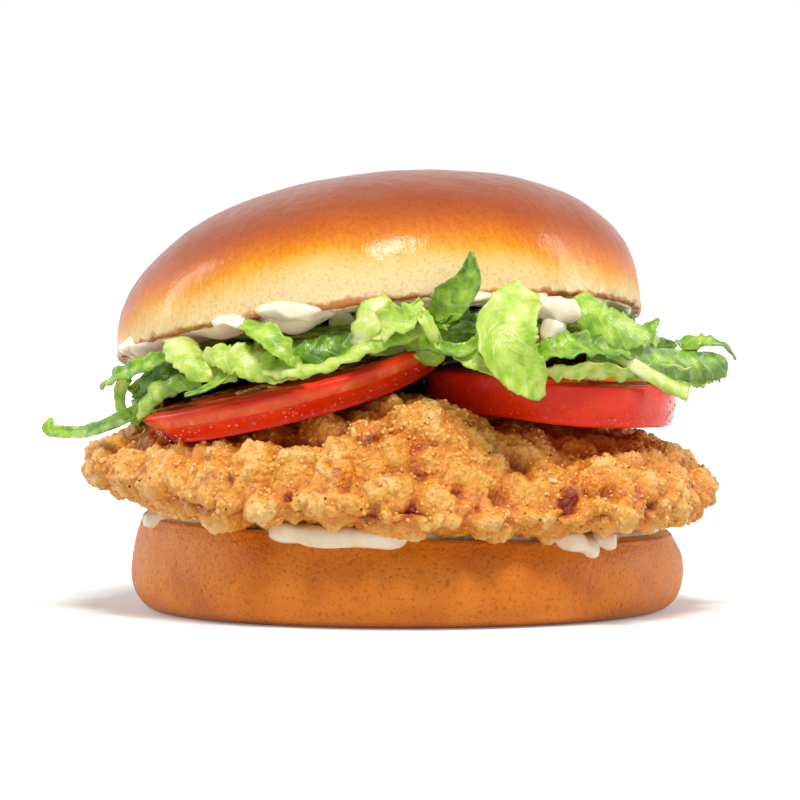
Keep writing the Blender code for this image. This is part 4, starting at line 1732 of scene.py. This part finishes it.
MIDDLE_SHREDS = (
    # The long wave over the left slice, and the pale leaf that rises from it
    Shred(
        ((-27, -51, 48.7), (-22.5, -53, 48.7), (-17, -54, 49.2), (-12, -54, 51.0), (-7.5, -53.5, 53.4),
         (-2.5, -53, 55.2), (3, -51, 56.6)),
        (2.2, 3.0, 2.4, 2.4, 3.4, 4.0, 3.0), Tone.YOUNG, facing=(0, -0.8, 0.7), curl=-0.5, ruffle=0.35,
    ),
    Shred(
        ((-9.5, -52, 52.8), (-8.2, -53.5, 56.0), (-6.4, -53, 59.6), (-3.4, -51.5, 62.0)),
        (3.0, 5.0, 5.6, 2.4), Tone.PALE, facing=(-0.2, -1, 0.1), curl=-0.4, ruffle=0.5,
    ),
    Shred(
        ((-6.5, -52, 56.4), (-3, -54, 57.6), (0.2, -54, 59.0), (2.6, -52, 61.4)),
        (4.6, 5.6, 4.8, 1.4), Tone.YOUNG, facing=(0.1, -1, 0.3), curl=0.3, ruffle=0.6, ragged=0.4,
    ),
    # The narrow pale strip, the dark curls and their loop
    Shred(
        ((1.8, -52.5, 60.2), (3.4, -54.5, 58.0), (4.6, -54.5, 55.4), (5.2, -53, 53.0)),
        (1.4, 2.6, 2.2, 1.0), Tone.YOUNG, facing=(0.2, -1, 0), curl=0.6, ruffle=0.2,
    ),
    Shred(
        ((4.0, -49, 56.8), (7.6, -52, 58.4), (11.6, -52.5, 58.6), (15.2, -51, 57.2), (18, -49, 56)),
        (2.2, 3.4, 3.2, 2.6, 2.0), Tone.DEEP, facing=(0, -0.6, 1), curl=0.4, ruffle=0.9, frill=3.4,
        ragged=0.4,
    ),
    Shred(
        ((5.0, -52, 55.6), (6.2, -54, 53.2), (9.6, -55, 52.4), (12.8, -54, 53.6), (13.8, -52.5, 56.0),
         (11.0, -51.5, 57.0), (7.6, -51.5, 56.0)),
        (1.6, 2.2, 2.6, 2.6, 2.2, 1.8, 1.2), Tone.LEAFY, facing=(0, -1, 0.2), curl=0.5, ruffle=0.3,
    ),
    Shred(
        ((2, -47, 54.5), (8, -49, 54.6), (14, -49, 55.2), (20, -47, 56.4)),
        (5.0, 6.0, 6.0, 5.0), Tone.DEEP, curl=-0.3, ruffle=0.6,
    ),
    # The leaf that stands up in front of the bun
    Shred(
        ((5.0, -50, 58.4), (8.4, -53, 61.4), (11.4, -55.5, 65.4), (12.0, -56.5, 70.8)),
        (3.2, 7.4, 5.2, 0.8), Tone.LEAFY, facing=(-0.2, -1, 0.15), curl=0.5, ruffle=0.25, ragged=0.1,
    ),
    # The big pale veined leaf that hangs over the right slice
    Shred(
        ((22.6, -47, 63.6), (20.4, -53, 61.0), (18.4, -57, 56.6), (19.2, -58.5, 51.6), (22.6, -57, 47.0),
         (25.0, -55, 43.6)),
        (4.6, 8.6, 11.4, 10.6, 7.6, 1.8), Tone.YOUNG, facing=(0.05, -1, 0.3), curl=0.28, ruffle=0.45,
        frill=9, ragged=0.12,
    ),
    Shred(
        ((7.6, -52, 52.4), (12, -55, 50.6), (17, -55.5, 47.8)),
        (1.2, 3.8, 1.0), Tone.YOUNG, facing=(0, -1, 0.5), curl=0.3, ruffle=0.2,
    ),
)

RIGHT_SHREDS = (
    Shred(
        ((32, -43, 62.4), (34.6, -45.5, 59.4), (37.6, -44.5, 57.4), (41.4, -41, 56.0), (46, -36, 54.6)),
        (4.0, 7.4, 8.6, 7.6, 4.4), Tone.FRESH, facing=(0.25, -1, 0.5), curl=-0.3, ruffle=0.5, frill=7,
    ),
    Shred(
        ((40.5, -36, 53.0), (44.4, -34, 54.6), (47.8, -32, 57.6)),
        (3.8, 4.0, 0.5), Tone.FRESH, facing=(0.4, -1, 0.1), curl=0.3, ruffle=0.15,
    ),
    Shred(
        ((22.4, -50, 50.4), (27.2, -52.5, 52.4), (32.2, -50.5, 53.2), (36.6, -47, 52.4), (42, -41, 51.4)),
        (2.4, 5.2, 5.6, 5.0, 3.0), Tone.LEAFY, facing=(0.2, -0.8, 0.7), curl=0.3, ruffle=0.6,
    ),
    # The yellowish underside below it
    Shred(
        ((23.4, -49, 48.2), (29, -51, 48.4), (35, -48.5, 48.8), (41, -42, 47.8), (45, -37, 47.6)),
        (1.6, 3.2, 3.6, 3.2, 2.0), Tone.YOUNG, facing=(0.2, -0.8, -0.5), curl=0.35, ruffle=0.5,
        ragged=0.35,
    ),
    # The long leaf rolled out to the right, its hooked tip and its pale torn end
    Shred(
        ((33.6, -46, 51.6), (40.6, -40, 51.2), (47, -34, 50.6), (54, -26, 49.8), (61.5, -18, 49.2)),
        (5.4, 7.6, 7.4, 7.0, 5.6), Tone.LEAFY, facing=(0.45, -0.8, 0.55), curl=-0.75, ruffle=0.25,
        ragged=0.08,
    ),
    Shred(
        ((52.5, -22, 51.8), (57.6, -18, 52.6), (61.4, -14, 51.6), (63.6, -12, 49.2)),
        (4.0, 3.6, 2.2, 0.5), Tone.LEAFY, facing=(0.3, -0.5, 1), curl=0.4, ruffle=0.2,
    ),
    Shred(
        ((53.4, -22, 51.2), (55.6, -21, 52.8), (56.8, -20, 54.4)),
        (3.0, 2.2, 0.4), Tone.FRESH, facing=(0.3, -1, 0.2), curl=0.2, ruffle=0.1,
    ),
    Shred(
        ((44, -36, 48.2), (50, -30, 47.0), (56, -22, 46.4), (60.4, -17, 47.4)),
        (3.0, 4.2, 3.8, 2.4), Tone.YOUNG, facing=(0.3, -1, -0.2), curl=0.5, ruffle=0.5, ragged=0.4,
    ),
    # The pale stalk, cut square
    Shred(
        ((38.6, -43, 51.4), (42.6, -42, 49.4), (47.2, -39, 46.6), (53.4, -34, 43.4)),
        (2.2, 2.8, 2.9, 3.0), Tone.PALE, facing=(0.3, -1, 0.4), curl=-0.3, ruffle=0.05, ragged=0.04,
    ),
)


@dataclass
class Lettuce:
    """The shredded lettuce: front shreds laid one by one, scattered ones all round, and a core."""

    thickness: float = 0.34 * MM
    core_shrink: float = 1.3 * MM
    core_share: float = 0.86
    core_floor: float = 57 * MM
    scattered: int = 130
    finish: LettuceLeaf = field(default_factory=LettuceLeaf)

    def new_mesh(self) -> bmesh.types.BMesh:
        """An empty mesh with the layers that the leaf's material reads."""
        bm = bmesh.new()
        bm.verts.layers.float_vector.new("leaf_place")
        bm.verts.layers.float.new("tone")
        return bm

    def thicken(self, piece: bpy.types.Object) -> bpy.types.Object:
        """Gives the leaves their thickness."""
        solid = piece.modifiers.new("leaf_thickness", "SOLIDIFY")
        solid.thickness = self.thickness
        solid.offset = 0.0
        return piece

    def front(self, material: bpy.types.Material) -> bpy.types.Object:
        """The shreds that show at the front, laid one by one."""
        bm = self.new_mesh()
        for index, shred in enumerate(LEFT_SHREDS + MIDDLE_SHREDS + RIGHT_SHREDS):
            shred.add_to(bm, 1.0 + index)
        return self.thicken(finish_piece("lettuce_front_shreds", bm, material))

    def random_shred(self, bed: BVHTree, bearing: float, rng: random.Random) -> Shred | None:
        """A shred that lies along the heap's edge at this bearing.

        Args:
            bed: The heap's outer shape.
            bearing: Its direction from the middle, in radians.
            rng: Where its form comes from.

        Returns:
            The shred, or None where the heap has a gap.
        """
        near_front = math.sin(bearing) < -0.35
        reach = (rng.uniform(34, 41) if near_front else rng.uniform(42, 54)) * MM
        swing = rng.uniform(-0.16, 0.16)
        spine = []
        for step in range(4):
            turn = bearing + swing * (step - 1.5) + 0.05 * rng.uniform(-1, 1)
            out = reach + (step - 1.5) * rng.uniform(-1.5, 2.5) * MM
            x, y = out * math.cos(turn), out * math.sin(turn)
            over = min(out, 46 * MM)
            under_x, under_y = over * math.cos(turn), over * math.sin(turn)
            top = bed.ray_cast(Vector((under_x, under_y, 0.12)), Vector((0, 0, -1)))[0]
            bottom = bed.ray_cast(Vector((under_x, under_y, 0)), Vector((0, 0, 1)))[0]
            if top is None or bottom is None:
                return None
            lowest = 0.55 if near_front else 0.15
            height = bottom.z + (top.z - bottom.z) * rng.uniform(lowest, 0.95)
            height -= 0.6 * (out - over)
            spine.append((x / MM, y / MM, height / MM))
        widths = (rng.uniform(0.8, 2.5), rng.uniform(3, 6), rng.uniform(3, 6), rng.uniform(0.6, 2))
        facing = (
            math.cos(bearing) + rng.uniform(-0.4, 0.4),
            math.sin(bearing) + rng.uniform(-0.4, 0.4),
            rng.uniform(-0.2, 0.9),
        )
        return Shred(
            tuple(spine),
            widths,
            rng.choice(list(Tone)),
            facing=facing,
            twist=rng.uniform(-50, 50),
            curl=rng.uniform(-0.5, 0.5),
            ruffle=rng.uniform(0.3, 0.9),
            frill=rng.uniform(3.5, 7),
            ragged=rng.uniform(0.1, 0.4),
        )

    def around(self, material: bpy.types.Material, rng: random.Random) -> bpy.types.Object:
        """Shreds scattered round the heap's edge."""
        bed_bm = merged_copy("lettuce")
        bed = BVHTree.FromBMesh(bed_bm)
        bed_bm.free()
        bm = self.new_mesh()
        for index in range(self.scattered):
            bearing = math.tau * (index + rng.random()) / self.scattered
            shred = self.random_shred(bed, bearing, rng)
            if shred:
                shred.add_to(bm, 60.0 + index)
        return self.thicken(finish_piece("lettuce_shreds", bm, material))

    def core(self, material: bpy.types.Material) -> bpy.types.Object:
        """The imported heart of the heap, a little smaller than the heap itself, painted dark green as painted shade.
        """
        bm = refined(merged_copy("lettuce"), 1, 0.9 * MM)
        bm.normal_update()
        place_layer = bm.verts.layers.float_vector.new("leaf_place")
        tone_layer = bm.verts.layers.float.new("tone")
        normals = [vert.normal.copy() for vert in bm.verts]
        for vert, normal in zip(bm.verts, normals):
            folds = rough(vert.co, 5 * MM, 3)
            vert[place_layer] = vert.co / MM
            # Painted shade: the core takes the darkest greens, standing for the heap's shaded inside.
            vert[tone_layer] = 0.85 + 0.2 * folds
            vert.co += normal * (0.7 * MM * folds - self.core_shrink)
            vert.co.x *= self.core_share
            vert.co.y *= self.core_share
            hanging = max(0.0, self.core_floor - vert.co.z) * smooth_step(-vert.co.y, 0, 22 * MM)
            vert.co.z += 0.7 * hanging
        return finish_piece("lettuce_core", bm, material, ["lettuce"])

    def build(self, rng: random.Random) -> list[bpy.types.Object]:
        """Builds and dresses the lettuce."""
        material = self.finish.material()
        return [self.core(material), self.front(material), self.around(material, rng)]


# ---------------------------------------------------------------- studio


@dataclass(frozen=True)
class Lamp:
    """A softbox that faces the burger: direction in degrees, distance, sides and power."""

    name: str
    azimuth: float
    elevation: float
    distance: float
    sides: tuple[float, float]
    watts: float

    def build(self, target: Vector) -> None:
        """Hangs the softbox."""
        lamp = bpy.data.lights.new(self.name, "AREA")
        lamp.shape = "RECTANGLE"
        lamp.size, lamp.size_y = self.sides
        lamp.energy = self.watts
        holder = bpy.data.objects.new(self.name, lamp)
        bpy.context.scene.collection.objects.link(holder)
        turn, rise = math.radians(self.azimuth), math.radians(self.elevation)
        away = Vector(
            (math.sin(turn) * math.cos(rise), -math.cos(turn) * math.cos(rise), math.sin(rise))
        )
        holder.location = target + away * self.distance
        holder.rotation_euler = away.to_track_quat("Z", "Y").to_euler()


@dataclass
class Studio:
    """A white floor and room, a large key light above the front, side strips and the camera."""

    target: Vector = field(default_factory=lambda: Vector((-1.4, 0, 40.8)) * MM)
    camera_place: Vector = field(default_factory=lambda: Vector((-1.4, -1100, 88.5)) * MM)
    lens_mm: float = 253.0
    ambient: float = 0.33
    lamps: tuple[Lamp, ...] = (
        Lamp("key", 6, 56, 1.1, (0.28, 0.26), 10.4),
        Lamp("left_strip", -108, 22, 0.9, (0.2, 0.5), 2.4),
        Lamp("right_strip", 104, 22, 0.9, (0.2, 0.5), 2.4),
    )

    def camera(self) -> None:
        """Sets up the camera."""
        data = bpy.data.cameras.new("camera")
        data.sensor_width = 36
        data.lens = self.lens_mm
        camera = bpy.data.objects.new("camera", data)
        bpy.context.scene.collection.objects.link(camera)
        camera.location = self.camera_place
        aim = self.target - self.camera_place
        camera.rotation_euler = aim.to_track_quat("-Z", "Y").to_euler()
        bpy.context.scene.camera = camera

    def seen_directly(self, tree: bpy.types.NodeTree) -> bpy.types.NodeSocket:
        """1 for camera, glossy and transmission rays, 0 for the rays that light things."""
        path = add_node(tree, "ShaderNodeLightPath")
        seen = add_node(
            tree,
            "ShaderNodeMath",
            {0: path.outputs["Is Camera Ray"], 1: path.outputs["Is Glossy Ray"]},
            operation="ADD",
        )
        total = add_node(
            tree,
            "ShaderNodeMath",
            {0: seen.outputs[0], 1: path.outputs["Is Transmission Ray"]},
            operation="ADD",
            use_clamp=True,
        )
        return total.outputs[0]

    def world(self) -> None:
        """A white room that lights softly and shows as white."""
        world = bpy.data.worlds.new("studio_white")
        world.use_nodes = True
        tree = world.node_tree
        background = tree.nodes["Background"]
        background.inputs["Color"].default_value = (1.0, 1.0, 1.0, 1.0)
        strength = add_node(
            tree,
            "ShaderNodeMapRange",
            {"Value": self.seen_directly(tree), "To Min": self.ambient, "To Max": 1.0},
        )
        tree.links.new(strength.outputs[0], background.inputs["Strength"])
        bpy.context.scene.world = world

    def floor(self) -> None:
        """The white table top, which keeps the burger's shadow."""
        bm = bmesh.new()
        bmesh.ops.create_grid(bm, x_segments=1, y_segments=1, size=4)
        mesh = bpy.data.meshes.new("floor")
        bm.to_mesh(mesh)
        bm.free()
        material, tree, shader = new_material("matt_white_board")
        shader.inputs["Base Color"].default_value = linear("#eaeaea")
        shader.inputs["Roughness"].default_value = 0.9
        shader.inputs["Specular IOR Level"].default_value = 0.0
        shader.inputs["Emission Color"].default_value = (1.0, 1.0, 1.0, 1.0)
        coords = add_node(tree, "ShaderNodeTexCoord")
        reach = add_node(
            tree, "ShaderNodeVectorMath", {0: coords.outputs["Object"]}, operation="LENGTH"
        )
        whiter = add_node(
            tree,
            "ShaderNodeMapRange",
            {
                "Value": reach.outputs["Value"],
                "From Min": 80 * MM,
                "From Max": 260 * MM,
                "To Min": 0.21,
                "To Max": 1.0,
            },
        )
        glow = add_node(
            tree,
            "ShaderNodeMath",
            {0: self.seen_directly(tree), 1: whiter.outputs[0]},
            operation="MULTIPLY",
        )
        tree.links.new(glow.outputs[0], shader.inputs["Emission Strength"])
        mesh.materials.append(material)
        floor = bpy.data.objects.new("floor", mesh)
        floor.location.z = -0.1 * MM
        bpy.context.scene.collection.objects.link(floor)

    def build(self) -> None:
        """Sets up the camera, the lights, the room and the floor."""
        self.camera()
        self.world()
        self.floor()
        for lamp in self.lamps:
            lamp.build(self.target)
        bpy.context.scene.view_settings.view_transform = "Standard"


def main() -> None:
    """Builds the studio and then the burger from the plate up."""
    logging.basicConfig(level=logging.INFO, format="%(name)s: %(message)s")
    Studio().build()
    rng = random.Random(7)
    heel = BunBottom()
    heel.build()
    mayonnaise = Mayonnaise().material()
    LowerSauce(heel).build(mayonnaise)
    ChickenFillet().build(rng)
    TomatoLayer().build(rng)
    Lettuce().build(rng)
    crown = BunTop()
    UpperSauce(crown).build(mayonnaise)
    crown.build()


if __name__ == "__main__":
    main()
